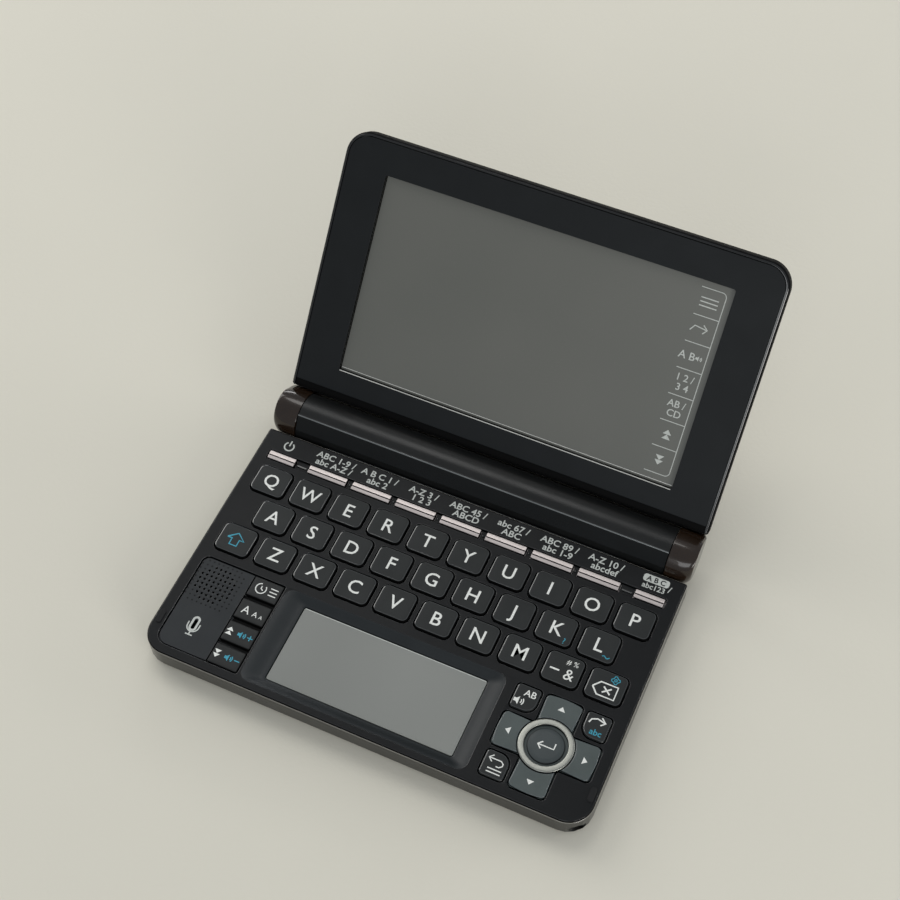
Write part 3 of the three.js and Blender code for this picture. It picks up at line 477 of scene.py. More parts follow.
def flecked(name, dark, light, fleck, rough):
    """Glossy pearl lacquer: dark brown with fine metal flakes under a clear coat."""
    g = Graph(name)
    cloud = g.noise(5, 3)
    flakes = g.ramp(g.cells(0.16), (0.0, 1), (0.28, 0))
    body = g.mix(cloud, dark, light)
    return g.surface({
        "Base Color": g.mix(flakes * 0.6, body, fleck), "Roughness": flakes * 0.1 + rough,
        "Metallic": flakes * 0.4 + 0.1, "Specular IOR Level": 0.3, "Coat Weight": 0.5, "Coat Roughness": 0.03,
        "Normal": g.bump(g.noise(3, 2), 0.01)})


COVER_PLASTIC = moulded("cover_matt_black", (9, 11, 13), (14, 16, 18), 0.41, gloss=0.15)
COVER_EDGE = moulded("cover_edge_satin", (14, 16, 18), (20, 22, 24), 0.2, depth=0.003, gloss=0.7)
PANEL_PLASTIC = moulded("speaker_panel_black", (24, 28, 31), (31, 35, 38), 0.5, gloss=0.26)
WELL_PLASTIC = moulded("well_satin_black", (24, 28, 30), (31, 35, 37), 0.42, gloss=0.32)
KEY_PLASTIC = moulded("key_matt_black", (35, 37, 37), (42, 44, 44), 0.55, grain=0.14, gloss=0.2)
KEY_EDGE = moulded("key_edge_gloss", (22, 24, 24), (28, 30, 30), 0.16, depth=0.003, gloss=1.0, coat=0.6)
# Side keys' chamfers, painted darker than their tops as shade that outlines each key
SIDE_KEY_EDGE_PAINTED_SHADE = moulded("side_key_edge_painted_shade", (12, 13, 13), (16, 17, 17), 0.4, depth=0.003, gloss=0.2)
SIDE_KEY_PLASTIC = moulded("side_key_black", (23, 25, 25), (29, 31, 31), 0.5, grain=0.14, gloss=0.26)
# Near-black painted shade for walls, gaps, grooves, seams and slots, where little light reaches
GAP_PAINTED_SHADE = moulded("gap_painted_shade", (4, 4, 4), (6, 6, 6), 0.6, gloss=0.08)
BARREL_PLASTIC = moulded("barrel_satin_grey", (16, 17, 17), (22, 23, 23), 0.32, gloss=0.29)
# The barrel's front facet: glossy, and coloured a little darker than the barrel as painted shade
FACET_PAINTED_SHADE = moulded("barrel_facet_painted_shade", (13, 15, 16), (18, 20, 21), 0.3, depth=0.004, gloss=0.2)
# Glossy metallic edge whose pale colour is a painted highlight line
BARREL_EDGE_PAINTED_HIGHLIGHT = moulded("barrel_edge_gloss_and_painted_highlight", (112, 114, 114), (134, 136, 135), 0.13, depth=0.002,
                      gloss=1.0, coat=1.0, metal=0.8)
BEZEL_PLASTIC = moulded("bezel_satin_black", (12, 15, 17), (17, 20, 22), 0.5, grain=0.12,
                        depth=0.006, gloss=0.24)
SHELL_PLASTIC = moulded("shell_taupe_satin", (31, 30, 28), (40, 39, 36), 0.3, depth=0.004,
                        coat=0.2, metal=0.2)
# Pale colour painted on the skirt's top lip as a highlight
SHELL_LIP_PAINTED_HIGHLIGHT = moulded("shell_lip_painted_highlight", (118, 114, 106), (142, 138, 129), 0.3, depth=0.003, gloss=0.6)
LID_GLOSS = moulded("lid_gloss_black", (7, 7, 8), (11, 11, 11), 0.12, depth=0.002, gloss=0.3, coat=0.7)
CURSOR_PLASTIC = moulded("cursor_slate_satin", (62, 70, 69), (74, 82, 81), 0.48, grain=0.12, gloss=0.35)
CURSOR_EDGE = moulded("cursor_edge_satin", (60, 68, 69), (70, 78, 79), 0.2, depth=0.003, gloss=0.8)
ENTER_PLASTIC = moulded("enter_slate_satin", (54, 60, 61), (64, 70, 71), 0.46, grain=0.12, gloss=0.3)
LID_SIDE = moulded("lid_side_black", (7, 7, 8), (11, 11, 11), 0.6, depth=0.003, gloss=0.05)
# The enter key's dome shoulder, painted darker than its top as shade
ENTER_EDGE_PAINTED_SHADE = moulded("enter_edge_painted_shade", (30, 34, 35), (38, 42, 43), 0.3, depth=0.003, gloss=0.3)
RUBBER = moulded("foot_rubber_black", (18, 18, 19), (27, 27, 28), 0.8, grain=0.3, depth=0.03, gloss=0.3)
# Near-black painted shade standing for the hollow of a blind dimple
DIMPLE_PAINTED_SHADE = moulded("dimple_painted_shade", (7, 8, 9), (11, 12, 13), 0.7, gloss=0.2)
CAP_LACQUER = flecked("cap_bronze_lacquer", (24, 15, 9), (38, 26, 16), (96, 74, 52), 0.2)
BAR_METAL = brushed("bar_pale_pink_silver", (180, 171, 168), (210, 201, 198), 0.38, (0.05, 1, 1), metal=0.7)
RING_METAL = brushed("ring_satin_silver", (134, 135, 129), (162, 163, 156), 0.38, (1, 1, 1), size=0.3)
# Pale colour painted along the screen's lower edge as highlights
SCREEN_EDGE_PAINTED_HIGHLIGHT = brushed("screen_edge_painted_highlight", (205, 204, 198), (236, 235, 229), 0.3, (0.04, 1, 1), metal=0.5)
SCREW_STEEL = brushed("screw_dark_steel", (70, 70, 72), (112, 112, 114), 0.3, (1, 1, 1), size=0.4)
SCREEN_FILM = film("screen_grey_green", (95, 96, 91), (103, 103, 98), 0.26, 0.3, 0.15)
PANEL_FILM = film("panel_pale_grey", (117, 119, 115), (129, 131, 127), 0.36, 0.2, 0.08)
WHITE_INK = ink("legend_white_ink", (226, 227, 222))
GREY_INK = ink("legend_soft_white_ink", (190, 193, 188))
TEAL_INK = ink("legend_teal_ink", (58, 150, 172))
BOARD_GREEN = moulded("board_green_laminate", (28, 66, 44), (40, 84, 56), 0.45, grain=0.5, depth=0.02)
CELL_METAL = brushed("cell_gold_sleeve", (150, 128, 74), (196, 172, 108), 0.3, (1, 0.05, 0.05), metal=0.7)
STYLUS_PLASTIC = moulded("stylus_black", (24, 25, 26), (32, 33, 34), 0.36, grain=0.2)


def dress(node, material):
    """Gives a node that keeps its shape its own finish."""
    finishes = frame["nodes"][node].data.materials
    finishes.clear()
    finishes.append(material)


def softened(node, materials, edge, tests=(), only=None):
    """A node's own shape, flat faces merged and edges eased, standing for the node.

    The first material is the body's, the last one the eased edges'. Those between belong to the tests.
    Where only is given, just the creases whose middle passes it are eased.
    """
    source = frame["nodes"][node]
    to_sheet = BASE.inverted()
    mesh = bmesh.new()
    mesh.from_mesh(source.data)
    bmesh.ops.remove_doubles(mesh, verts=mesh.verts, dist=SAME_POINT * MM)
    bmesh.ops.dissolve_limit(mesh, angle_limit=math.radians(FLAT_BEND), verts=mesh.verts, edges=mesh.edges)
    lay_accents(mesh, list(zip(materials[1:], tests)), to_sheet)
    if only:
        mark_creases(mesh, only, to_sheet)
    thing = as_object(mesh, node + "_eased", materials, edge, 30, bool(only))
    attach(thing, source["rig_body"])
    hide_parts(node)


# Keys: each cap is narrower than the flange that holds it under the cover
KEY_FLANGE = 0.8
SIDE_FLANGE = 0.45
BAR_FLANGE = 0.6
CURSOR_FLANGE = 0.5
KEY_RADIUS = 2.0
CLEARANCE = 0.35
SIDE_CLEARANCE = 0.15
DRAFT = 0.26
SIDE_DRAFT = 0.2
CHAMFER_WIDE = 0.22
CHAMFER_TALL = 0.08
CROWN = 0.04
CROWN_STEP = 0.7
# The wall stands straight up to this far under the cover's top, or the leaning part's least height
STRAIGHT_UNDER = 0.1
LEAN_TALL = 0.4
# How far a face looks up, from 0 for a wall to 1 for a flat top
RIM_RISE = 0.45
SHOULDER_RISE = 0.93
FLAT_RISE = 0.985
ROWS = ["qwertyuiop", "asdfghjkl", "zxcvbnm"]
LETTER_HEIGHT = 4.5
holes = {"main": [], "trough": [], "side": []}


# Walls above the flange, which take near-black painted shade
def is_wall(middle, normal):
    return abs(normal.z) < RIM_RISE and middle.z > FLANGE_TOP


def is_rim(middle, normal):
    return RIM_RISE <= normal.z < FLAT_RISE and middle.z > COVER_UNDER


def is_shoulder(middle, normal):
    return RIM_RISE < normal.z < SHOULDER_RISE


def rim_sections(outline, top, rim, steps=4):
    """Outlines that round a cap's top edge over, from its side up to its flat top."""
    turns = [math.radians(90 * k / steps) for k in range(steps + 1)]
    return [(outline(-rim * (1 - math.cos(t))), top - rim * (1 - math.sin(t))) for t in turns]


def add_cap(node, radii=KEY_RADIUS, zone="main", flange=KEY_FLANGE, draft=DRAFT, clearance=CLEARANCE,
            material=KEY_PLASTIC, rim=KEY_EDGE):
    """Moulded cap of a key on its flange: walls that lean in, a flat chamfer and a faint crown."""
    outline = growing(edges_of(node, flange), radii)
    top = top_of(node)
    shoulder = top - CHAMFER_TALL - CROWN
    face = -draft - CHAMFER_WIDE
    cap = Piece(node + "_cap")
    lean = min(COVER_TOP - STRAIGHT_UNDER, shoulder - LEAN_TALL)
    cap.loft([(outline(flange), FLANGE_BOTTOM), (outline(flange), FLANGE_TOP),
              (outline(0), FLANGE_TOP), (outline(0), lean), (outline(-draft), shoulder),
              (outline(face), shoulder + CHAMFER_TALL), (outline(face - CROWN_STEP), top - CROWN / 4),
              (outline(face - 2 * CROWN_STEP), top)])
    # The walls over the flange are painted near-black as shade in the gap round the key
    cap.finish(material, node, "key_plastic", [node], accents=[(rim, is_rim), (GAP_PAINTED_SHADE, is_wall)])
    holes[zone].append(outline(clearance))


def finish_print(mark, node, teal):
    mark.finish(TEAL_INK if teal else WHITE_INK, node, "legend_teal" if teal else "legend_white")


def print_word(node, name, text, height=LETTER_HEIGHT, shift=(0, 0), bold=0.0, teal=False):
    """Letters or numbers printed on a key, counted from the middle of its cap."""
    x, y = middle_of(node)
    mark = Piece(f"{node}_{name}")
    mark.word(text, x + shift[0], y + shift[1], top_of(node) + PRINT, height, bold=bold)
    finish_print(mark, node, teal)


def print_sign(node, name, strokes=(), fills=(), width=0.42, teal=False, shift=(0, 0)):
    """Sign printed on a key: strokes and filled shapes round the middle of its cap."""
    x, y = middle_of(node)
    place = (x + shift[0], y + shift[1])
    z = top_of(node) + PRINT
    mark = Piece(f"{node}_{name}")
    mark.strokes(strokes, place, z, width)
    for fill in fills:
        mark.patch(moved(fill, *place), z)
    finish_print(mark, node, teal)


def triangle(x, y, half, tall, turn=0):
    """Filled arrow head pointing up, turned in degrees."""
    return moved(turned([(-half, -tall / 2), (half, -tall / 2), (0, tall / 2)], turn), x, y)


def speaker_sign(x, y, size):
    """Outline of a small loudspeaker, and its sound waves."""
    outline = [(-1, -0.35), (-0.5, -0.35), (0, -0.85), (0, 0.85), (-0.5, 0.35), (-1, 0.35)]
    body = [(x + size * px, y + size * py) for px, py in outline]
    return body, [arc(x, y, size * r, -42, 42, 6) for r in (0.55, 0.95)]


def add_main_keys():
    for letter in "".join(ROWS):
        node = f"key_{letter}"
        add_cap(node)
        print_word(node, "letter", letter.upper(), bold=0.04)
    print_word("key_k", "second", "?", 1.9, (3.7, -3.2), teal=True)
    wave = [(2.2 + k * 0.3, -3.2 + 0.32 * math.sin(k * 0.9)) for k in range(9)]
    print_sign("key_l", "second", [wave], width=0.32, teal=True)
    for node in ("key_shift", "key_symbol", "key_delete"):
        add_cap(node)
    arrow = [(-2.9, 0.1), (0, 2.4), (2.9, 0.1), (1.3, 0.1),
             (1.3, -2.2), (-1.3, -2.2), (-1.3, 0.1), (-2.9, 0.1)]
    print_sign("key_shift", "arrow", [arrow], width=0.5, teal=True, shift=(-0.2, -0.1))
    print_word("key_symbol", "sign", "&", 3.6, (2.4, -1.1))
    print_sign("key_symbol", "dash", [[(-3.9, -0.8), (-0.9, -0.8)]], width=0.55)
    print_word("key_symbol", "small", "# %", 1.7, (2.2, 2.9))
    tag = [(-3.9, -1.3), (-1.9, 0.9), (3.6, 0.9), (3.6, -3.5), (-1.9, -3.5), (-3.9, -1.3)]
    cross = [[(-0.6, -0.3), (1.9, -2.3)], [(-0.6, -2.3), (1.9, -0.3)]]
    print_sign("key_delete", "tag", [tag] + cross, width=0.5)
    x, y = 2.0, 2.9
    gear = []
    for k in range(17):
        r = 1.35 if k % 4 < 2 else 0.95
        gear.append((x + r * math.cos(k * math.pi / 8), y + r * math.sin(k * math.pi / 8)))
    print_sign("key_delete", "gear", [gear, arc(x, y, 0.4, 0, 360, 8)], width=0.3, teal=True)


def add_side_keys():
    for node in ("key_history", "key_text_size", "key_page_up", "key_page_down"):
        # Side keys: chamfers painted dark as shade, walls painted near-black as shade
        add_cap(node, 0.5, "side", SIDE_FLANGE, SIDE_DRAFT, SIDE_CLEARANCE, SIDE_KEY_PLASTIC, SIDE_KEY_EDGE_PAINTED_SHADE)
    clock = [arc(-1.6, 0.1, 1.75, 100, 400, 16), [(-1.6, 1.0), (-1.6, 0.1), (-0.8, -0.4)]]
    rows = [[(1.4, y), (4.0, y)] for y in (1.3, 0.1, -1.1)]
    print_sign("key_history", "clock", clock + rows, width=0.36)
    x, y = middle_of("key_text_size")
    letters = Piece("key_text_size_letters")
    for dx, dy, height in ((-2.3, 0, 2.7), (1.0, -0.45, 1.8), (3.1, -0.75, 1.2)):
        letters.word("A", x + dx, y + dy, top_of("key_text_size") + PRINT, height)
    letters.finish(WHITE_INK, "key_text_size", "legend_white")
    for node, turn in (("key_page_up", 0), ("key_page_down", 180)):
        print_sign(node, "heads", fills=[triangle(-3.5, y, 1.15, 1.3, turn) for y in (0.75, -0.65)])
        body, waves = speaker_sign(0.6, 0, 1.35)
        sign = [[(2.6, 0), (4.4, 0)]] + ([[(3.5, -0.9), (3.5, 0.9)]] if turn == 0 else [])
        print_sign(node, "sound", waves + sign, [body], width=0.34, teal=True)


def add_corner_keys():
    """Three keys round the cursor cross, each with one large corner towards it."""
    small, large = 1.2, 3.6
    for node, corner in (("key_voice", 1), ("key_jump", 0), ("key_back", 2)):
        add_cap(node, [large if k == corner else small for k in range(4)])
    body, waves = speaker_sign(-1.7, -1.5, 1.6)
    print_sign("key_voice", "sound", waves, [body], width=0.34)
    print_word("key_voice", "letter", "AB", 2.1, (0.9, 1.7), 0.03)
    jump = [[(-2.6, 0.5), (-2.1, 1.8), (-0.4, 2.5), (2.0, 1.9)], [(0.7, 3.2), (2.3, 1.9), (1.0, 0.7)]]
    print_sign("key_jump", "hop", jump, width=0.46)
    print_word("key_jump", "second", "abc", 1.9, (0.5, -1.9), 0.03, teal=True)
    back = [[(-2.4, 1.6), (1.4, 1.6), (2.2, 0.9), (2.2, 0.2), (1.4, -0.5), (0.4, -0.5)],
            [(-1.3, 2.7), (-2.5, 1.6), (-1.3, 0.5)], [(-1.8, -1.6), (2.6, -1.6)], [(-1.8, -2.7), (2.6, -2.7)]]
    print_sign("key_back", "return", back, width=0.36)


# Function bars in the trough
TROUGH_EDGES = (-69.9, 76.5, 69.9, 80.3)
TROUGH_DEEP = 0.9
GROOVE = 0.34
BAR_FOOT = 7.6
BAR_RADIUS = 0.4
# Steps in from a bar's end and down from its top
BAR_END = [(0, 0.16), (0.06, 0.05), (0.16, 0)]
BAR_NODES = ["key_power"] + [f"key_function_{i + 1}" for i in range(7)] + ["key_menu"]


def sunk_under(top):
    """Test for a bar's walls and the floor of its groove, which are painted near-black as shade."""
    def is_sunk(middle, normal):
        in_groove = normal.z > 0.9 and FLANGE_TOP + 0.1 < middle.z < top - GROOVE + 0.1
        return in_groove or is_wall(middle, normal)
    return is_sunk


def add_bars():
    for node in BAR_NODES:
        edges = edges_of(node, BAR_FLANGE)
        left, front, right, back = edges
        top = top_of(node)
        y = (front + back) / 2
        half = (back - front) / 2
        section = [(-half, BAR_FOOT), (-half, top - 0.4), (-half + 0.1, top - 0.26), (-0.47, top - 0.03),
                   (-0.45, top - GROOVE), (-0.09, top - GROOVE), (-0.07, top), (half - 0.35, top - 0.02),
                   (half - 0.1, top - 0.12), (half, top - 0.3), (half, BAR_FOOT)]
        ends = [(left + step, down) for step, down in BAR_END]
        ends += [(right - step, down) for step, down in reversed(BAR_END)]
        bar = Piece(node + "_bar")
        bar.loft([([(down - pz, y + py * (1 - down * 0.25)) for py, pz in section], x) for x, down in ends],
                 turn=ALONG)
        flange = grown(edges, BAR_FLANGE, BAR_RADIUS)
        bar.loft([(flange, FLANGE_BOTTOM), (flange, FLANGE_TOP)])
        # Walls and the groove's floor are painted near-black as shade
        bar.finish(BAR_METAL, node, "bar_metal", [node], accents=[(GAP_PAINTED_SHADE, sunk_under(top))])
        holes["trough"].append(grown(edges, CLEARANCE, 0.25))


BAR_LABELS = [("ABC 1-9 /", "abc A-Z /"), ("A B C 1 /", "abc 2"), ("A-Z 3 /", "1 2 3"), ("ABC 45 /", "ABCD"),
              ("abc 67 /", "ABC"), ("ABC 89 /", "abc 1-9"), ("A-Z 10 /", "abcdef")]
LABEL_Y = 83.7
LABEL_HEIGHT = 2.2
LABEL_RISE = 1.35


def add_bar_labels():
    """Labels behind the bars: a power sign, two lines of letters each, and a filled tag at the menu bar."""
    z = COVER_TOP + PRINT
    marks = Piece("bar_labels")
    place = (middle_of("key_power")[0], LABEL_Y)
    marks.strokes([arc(0, -0.2, 1.6, 125, 415, 16), [(0, 0), (0, 2.1)]], place, z, 0.5)
    for node, (upper, lower) in zip(BAR_NODES[1:], BAR_LABELS):
        x, _ = middle_of(node)
        marks.word(upper, x, LABEL_Y + LABEL_RISE, z, LABEL_HEIGHT, 1.05, 0.05)
        marks.word(lower, x + 0.3, LABEL_Y - LABEL_RISE, z, LABEL_HEIGHT, 1.05, 0.05)
    x, _ = middle_of("key_menu")
    marks.patch(rounded(x - 4.4, LABEL_Y + 0.1, x + 4.2, LABEL_Y + 2.75, 0.9, 4), z)
    marks.strokes([[(5.2, 1.0), (4.5, -1.2)]], (x, LABEL_Y), z, 0.3)
    marks.word("abc123", x - 0.1, LABEL_Y - 1.25, z, 1.8, bold=0.04)
    marks.finish(GREY_INK, "base", "legend_white")
    dark = Piece("menu_label_marks")
    dark.word("A B C", x - 0.1, LABEL_Y + 1.42, z + PRINT_THICK, 1.7, bold=0.05)
    dark.finish(COVER_PLASTIC, "base", "cover_plastic")


# Cursor cluster
CURSOR_EDGES = edges_of("cursor_pad", CURSOR_FLANGE)
CURSOR_MIDDLE = middle_of("cursor_pad")
REACH = [(CURSOR_EDGES[k + 2] - CURSOR_EDGES[k]) / 2 for k in (0, 1)]
ARM_HALF = 5.75
ARM_CORNER_R = 1.3
ARM_BOW = 0.35
RING_OUT = 8.55
RING_IN = 6.6
RING_GAP = 0.22
PAD_TOP = COVER_TOP + 0.45
RING_TOP = COVER_TOP + 0.75
# Steps in from each side of the ring and down from its top
RING_OUTER_EDGE = [(0, 0.36), (0.08, 0.18), (0.24, 0.06), (0.55, 0)]
RING_INNER_EDGE = [(0.4, 0), (0.14, 0.05), (0.03, 0.18), (0, 0.34)]
# Radius and depth under its top of the enter key's dome
ENTER_FLANGE_R = 7.4
ENTER_DOME = [(5.7, 0.62), (5.64, 0.44), (5.45, 0.3), (5.1, 0.2), (4.7, 0.12), (4.4, 0.05), (4.1, 0.02),
              (2, 0), (0, 0)]


def at_quarter(points, quarter):
    """Points of the right arm, turned to one of the four arms."""
    return moved(turned(points, 90 * quarter), *CURSOR_MIDDLE)


def cross_outline(by):
    half = ARM_HALF + by
    ring = RING_OUT + by
    meet = math.degrees(math.asin(half / ring))
    r = ARM_CORNER_R + by
    points = []
    for quarter in range(4):
        reach = REACH[quarter % 2] + by
        end = (arc(reach - r, r - half, r, 270, 360, 5) + arc(reach - r, half - r, r, 0, 90, 5)
               + arc(0, 0, ring, meet, 90 - meet, 6))
        points += at_quarter(end, quarter)
    return points


def arm_outline(quarter):
    """One arm of the cross: bowed outer edge, and an inner edge that follows the ring."""
    def outline(by):
        end = REACH[quarter % 2] + by - ARM_BOW
        half = ARM_HALF + by
        ring = RING_OUT + RING_GAP - by
        r = max(ARM_CORNER_R + by, 0.1)
        spread = math.degrees(math.asin((half - 0.3) / ring))
        bow = [(end + ARM_BOW * (1 - (k / 4 - 1) ** 2), (half - r) * (k / 4 - 1)) for k in range(1, 8)]
        outer = arc(end - r, r - half, r, 270, 360, 5) + bow + arc(end - r, half - r, r, 0, 90, 5)
        return at_quarter(outer + arc(0, 0, ring, spread, -spread, 12), quarter)
    return outline


def add_cursor():
    pads = Piece("cursor_pad_arms")
    pads.loft([(cross_outline(CURSOR_FLANGE), FLANGE_BOTTOM), (cross_outline(CURSOR_FLANGE), FLANGE_TOP),
               (cross_outline(-0.15), FLANGE_TOP), (cross_outline(-0.15), COVER_TOP - 0.25)])
    for quarter in range(4):
        outline = arm_outline(quarter)
        pads.loft([(outline(0), FLANGE_TOP)] + rim_sections(outline, PAD_TOP, 0.3))
    # The pads' walls are painted near-black as shade in the gaps
    pads.finish(CURSOR_PLASTIC, "cursor_pad", "cursor_plastic", ["cursor_pad"],
                accents=[(CURSOR_EDGE, is_rim), (GAP_PAINTED_SHADE, is_wall)])

    ring = Piece("cursor_ring")
    outer = [(RING_OUT - step, RING_TOP - down) for step, down in RING_OUTER_EDGE]
    inner = [(RING_IN + step, RING_TOP - down) for step, down in RING_INNER_EDGE]
    profile = [(RING_OUT, FLANGE_TOP)] + outer + inner + [(RING_IN, FLANGE_TOP)]
    ring.loft([(circle(*CURSOR_MIDDLE, r, 96), z) for r, z in profile], closed=True)
    # The ring's walls are painted near-black as shade
    ring.finish(RING_METAL, "cursor_pad", "ring_metal", accents=[(GAP_PAINTED_SHADE, is_wall)])

    top = top_of("key_enter")
    enter = Piece("key_enter_cap")
    enter.lathe([(ENTER_FLANGE_R, 6.1), (ENTER_FLANGE_R, 6.6), (ENTER_DOME[0][0], 6.6)]
                + [(r, top - down) for r, down in ENTER_DOME], *CURSOR_MIDDLE, 96)
    # The dome's shoulder is painted darker as shade, and its walls near-black as shade
    enter.finish(ENTER_PLASTIC, "key_enter", "cursor_plastic", ["key_enter"],
                 accents=[(ENTER_EDGE_PAINTED_SHADE, is_shoulder), (GAP_PAINTED_SHADE, is_wall)])
    hook = [[(2.6, 1.5), (2.6, -0.4), (-2.4, -0.4)], [(-1.2, 0.8), (-2.5, -0.4), (-1.2, -1.6)]]
    print_sign("key_enter", "hook", hook)

    heads = Piece("cursor_heads")
    for quarter in range(4):
        far = REACH[quarter % 2] - 3.4
        heads.patch(at_quarter(triangle(far, 0, 1.15, 1.5, -90), quarter), PAD_TOP + PRINT)
    heads.finish(WHITE_INK, "cursor_pad", "legend_white")
    holes["main"].append(cross_outline(CLEARANCE))


# Top cover: a plate with a trough, a speaker recess and a dished well
PANEL_FLANGE = 2.0
PANEL_EDGES = edges_of("handwriting_panel", PANEL_FLANGE)
PANEL_RADIUS = 0.6
WELL_EDGES = (-40.2, 2.6, 35.0, 36.0)
WELL_OUTLINE = rounded(*WELL_EDGES, 3.0, 12)
WELL_FLOOR = COVER_TOP - 1.35
SIDE_EDGES = (-70.0, 3.1, -40.9, 36.2)
SIDE_OUTLINE = rounded(*SIDE_EDGES, [4, 0.8, 0.8, 2.5])
SIDE_DEEP = 0.35
PANEL_GAP = 0.4
GRILLE_MIDDLE = (-61.97, 27.57)
GRILLE_PITCH = 1.63
GRILLE_ROWS = [4, 6, 8, 8, 8, 8, 6, 4]
GRILLE_HOLE_R = 0.4
DIMPLE_R = 0.3
MIC = (-61.15, 12.9)
RIM = 0.14
FINE_RIM = 0.08
BASE_DEPTH = 88.0
FRONT_CORNER_R = 8.2
BACK_CORNER_R = 0.8
SKIRT = 0.14
SKIRT_FOOT = COVER_UNDER - 0.26
SKIRT_TOP = COVER_TOP - 0.5
SKIRT_SEAT = COVER_UNDER + 0.3
SEAM = 0.3
STOP_X = 71.95
STOP_EDGES = (-0.95, 8.75, 0.95, 13.65)
STOP_PROUD = 0.5


def in_seam(middle, normal):
    """Walls and floor of the groove between the cover and its skirt, which are painted near-black as shade.
    """
    inward = normal.x * middle.x + normal.y * (middle.y - BASE_DEPTH / 2) < -0.1
    return middle.z > COVER_UNDER and (inward or (normal.z > 0.9 and middle.z < COVER_TOP - 1))


def is_lip(middle, normal):
    return normal.z > 0.5 and middle.z > SKIRT_TOP - 0.1


def base_outline(inset, steps=16):
    half = HALF_WIDTH - inset
    front, back = FRONT_CORNER_R - inset, max(BACK_CORNER_R - inset, 0.2)
    return rounded(-half, inset, half, BASE_DEPTH - inset, [front, front, back, back], steps)


def grille_spots():
    """Open holes in a rounded block, and blind dimples round them."""
    open_spots, blind = [], []
    for row in range(-1, 9):
        for column in range(-1, 9):
            up, across = row - 3.5, column - 3.5
            spot = (GRILLE_MIDDLE[0] + across * GRILLE_PITCH, GRILLE_MIDDLE[1] + up * GRILLE_PITCH)
            if 0 <= row < 8 and abs(across) < GRILLE_ROWS[row] / 2:
                open_spots.append(spot)
            elif abs(up) + abs(across) < 8.5 and abs(across) < 4.6:
                blind.append(spot)
    return open_spots, blind


def add_speaker_panel(spots):
    """Recessed panel: a floor with the side keys' holes, painted near-black as shade under the keys, and a
    raised part to the left of them.
    """
    left, front, _, back = SIDE_EDGES
    column = edges_of("key_history", SIDE_FLANGE)[0] - 0.3
    inner = rounded(left + PANEL_GAP, front + PANEL_GAP, column, back - PANEL_GAP, [3.6, 0.3, 0.3, 2.1])
    x, y = MIC
    openings = [circle(*spot, GRILLE_HOLE_R, 14) for spot in spots] + [
        rounded(x - 0.6, y - 1.7, x + 0.6, y + 1.7, 0.6)]

    def is_raised_rim(middle, normal):
        return is_rim(middle, normal) and middle.x < column

    # Walls, and the floor under the side keys, take near-black painted shade
    def is_panel_painted_shade(middle, normal):
        return is_wall(middle, normal) or middle.x > column

    panel = Piece("speaker_panel")
    panel.plate([SIDE_OUTLINE] + holes["side"] + openings, COVER_UNDER, COVER_UNDER + 0.4, 0.05)
    panel.plate([inner] + openings, COVER_UNDER + 0.35, COVER_TOP - SIDE_DEEP, FINE_RIM)
    panel.finish(PANEL_PLASTIC, "base", "cover_plastic",
                 accents=[(COVER_EDGE, is_raised_rim), (GAP_PAINTED_SHADE, is_panel_painted_shade)])


def add_top_cover():
    trough = rounded(*TROUGH_EDGES, 0.8)
    cover = Piece("top_cover")
    cover.plate([base_outline(SKIRT + SEAM), trough, SIDE_OUTLINE, WELL_OUTLINE] + holes["main"],
                COVER_UNDER, COVER_TOP, RIM)
    cover.plate([trough] + holes["trough"], COVER_UNDER, COVER_TOP - TROUGH_DEEP, FINE_RIM)
    # Hole walls are painted near-black as shade
    cover.finish(COVER_PLASTIC, "base", "cover_plastic", ["base_top_cover"],
                 accents=[(COVER_EDGE, is_rim), (GAP_PAINTED_SHADE, is_wall)])


def add_skirt():
    """Thin wall of the case round the cover, with a lip painted pale as a highlight and a seam painted
    near-black as shade.
    """
    deep = SKIRT + SEAM + 0.2
    skirt = Piece("cover_skirt")
    wall = [(0, SKIRT_FOOT), (0, SKIRT_TOP), (0.1, SKIRT_TOP + 0.1), (SKIRT, SKIRT_TOP + 0.1),
            (SKIRT, SKIRT_SEAT), (deep, SKIRT_SEAT), (deep, SKIRT_FOOT)]
    skirt.loft([(base_outline(inset), z) for inset, z in wall], closed=True)
    # The top lip takes a painted highlight, the seam groove near-black painted shade
    skirt.finish(SHELL_PLASTIC, "base", "shell_plastic", accents=[(SHELL_LIP_PAINTED_HIGHLIGHT, is_lip), (GAP_PAINTED_SHADE, in_seam)])


def add_well():
    """Dish round the handwriting panel: its walls fall slowly, then steeply, to the panel's edge."""
    floor, lip, outer = [grown(PANEL_EDGES, by, PANEL_RADIUS, 12) for by in (0.6, 0.3, 2.6)]
    start = COVER_TOP - 0.06
    under = WELL_FLOOR - 0.8
    rings = []
    for k in range(9):
        share = k / 8
        fall = share * share * (3 - 2 * share) * 0.55 + share * 0.45
        rings.append((between(WELL_OUTLINE, floor, share), start + (WELL_FLOOR - start) * fall))
    dish = Piece("handwriting_well")
    dish.loft(rings + [(lip, WELL_FLOOR - 0.12), (lip, under), (outer, under), (outer, COVER_UNDER),
                       (WELL_OUTLINE, COVER_UNDER)], closed=True)
    # The dish's steep walls at the panel are painted near-black as shade
    dish.finish(WELL_PLASTIC, "base", "cover_plastic", accents=[(GAP_PAINTED_SHADE, is_wall)])


# Blind dimples drawn as near-flush dark discs: painted shade standing for their hollows
def add_dimples(spots):
    top = COVER_TOP - SIDE_DEEP
    dark = Piece("grille_dimples")
    for x, y in spots:
        dark.lathe([(DIMPLE_R, top - 0.2), (DIMPLE_R, top + 0.006), (0, top + 0.004)], x, y, 12)
    dark.finish(DIMPLE_PAINTED_SHADE, "base", "cover_plastic")


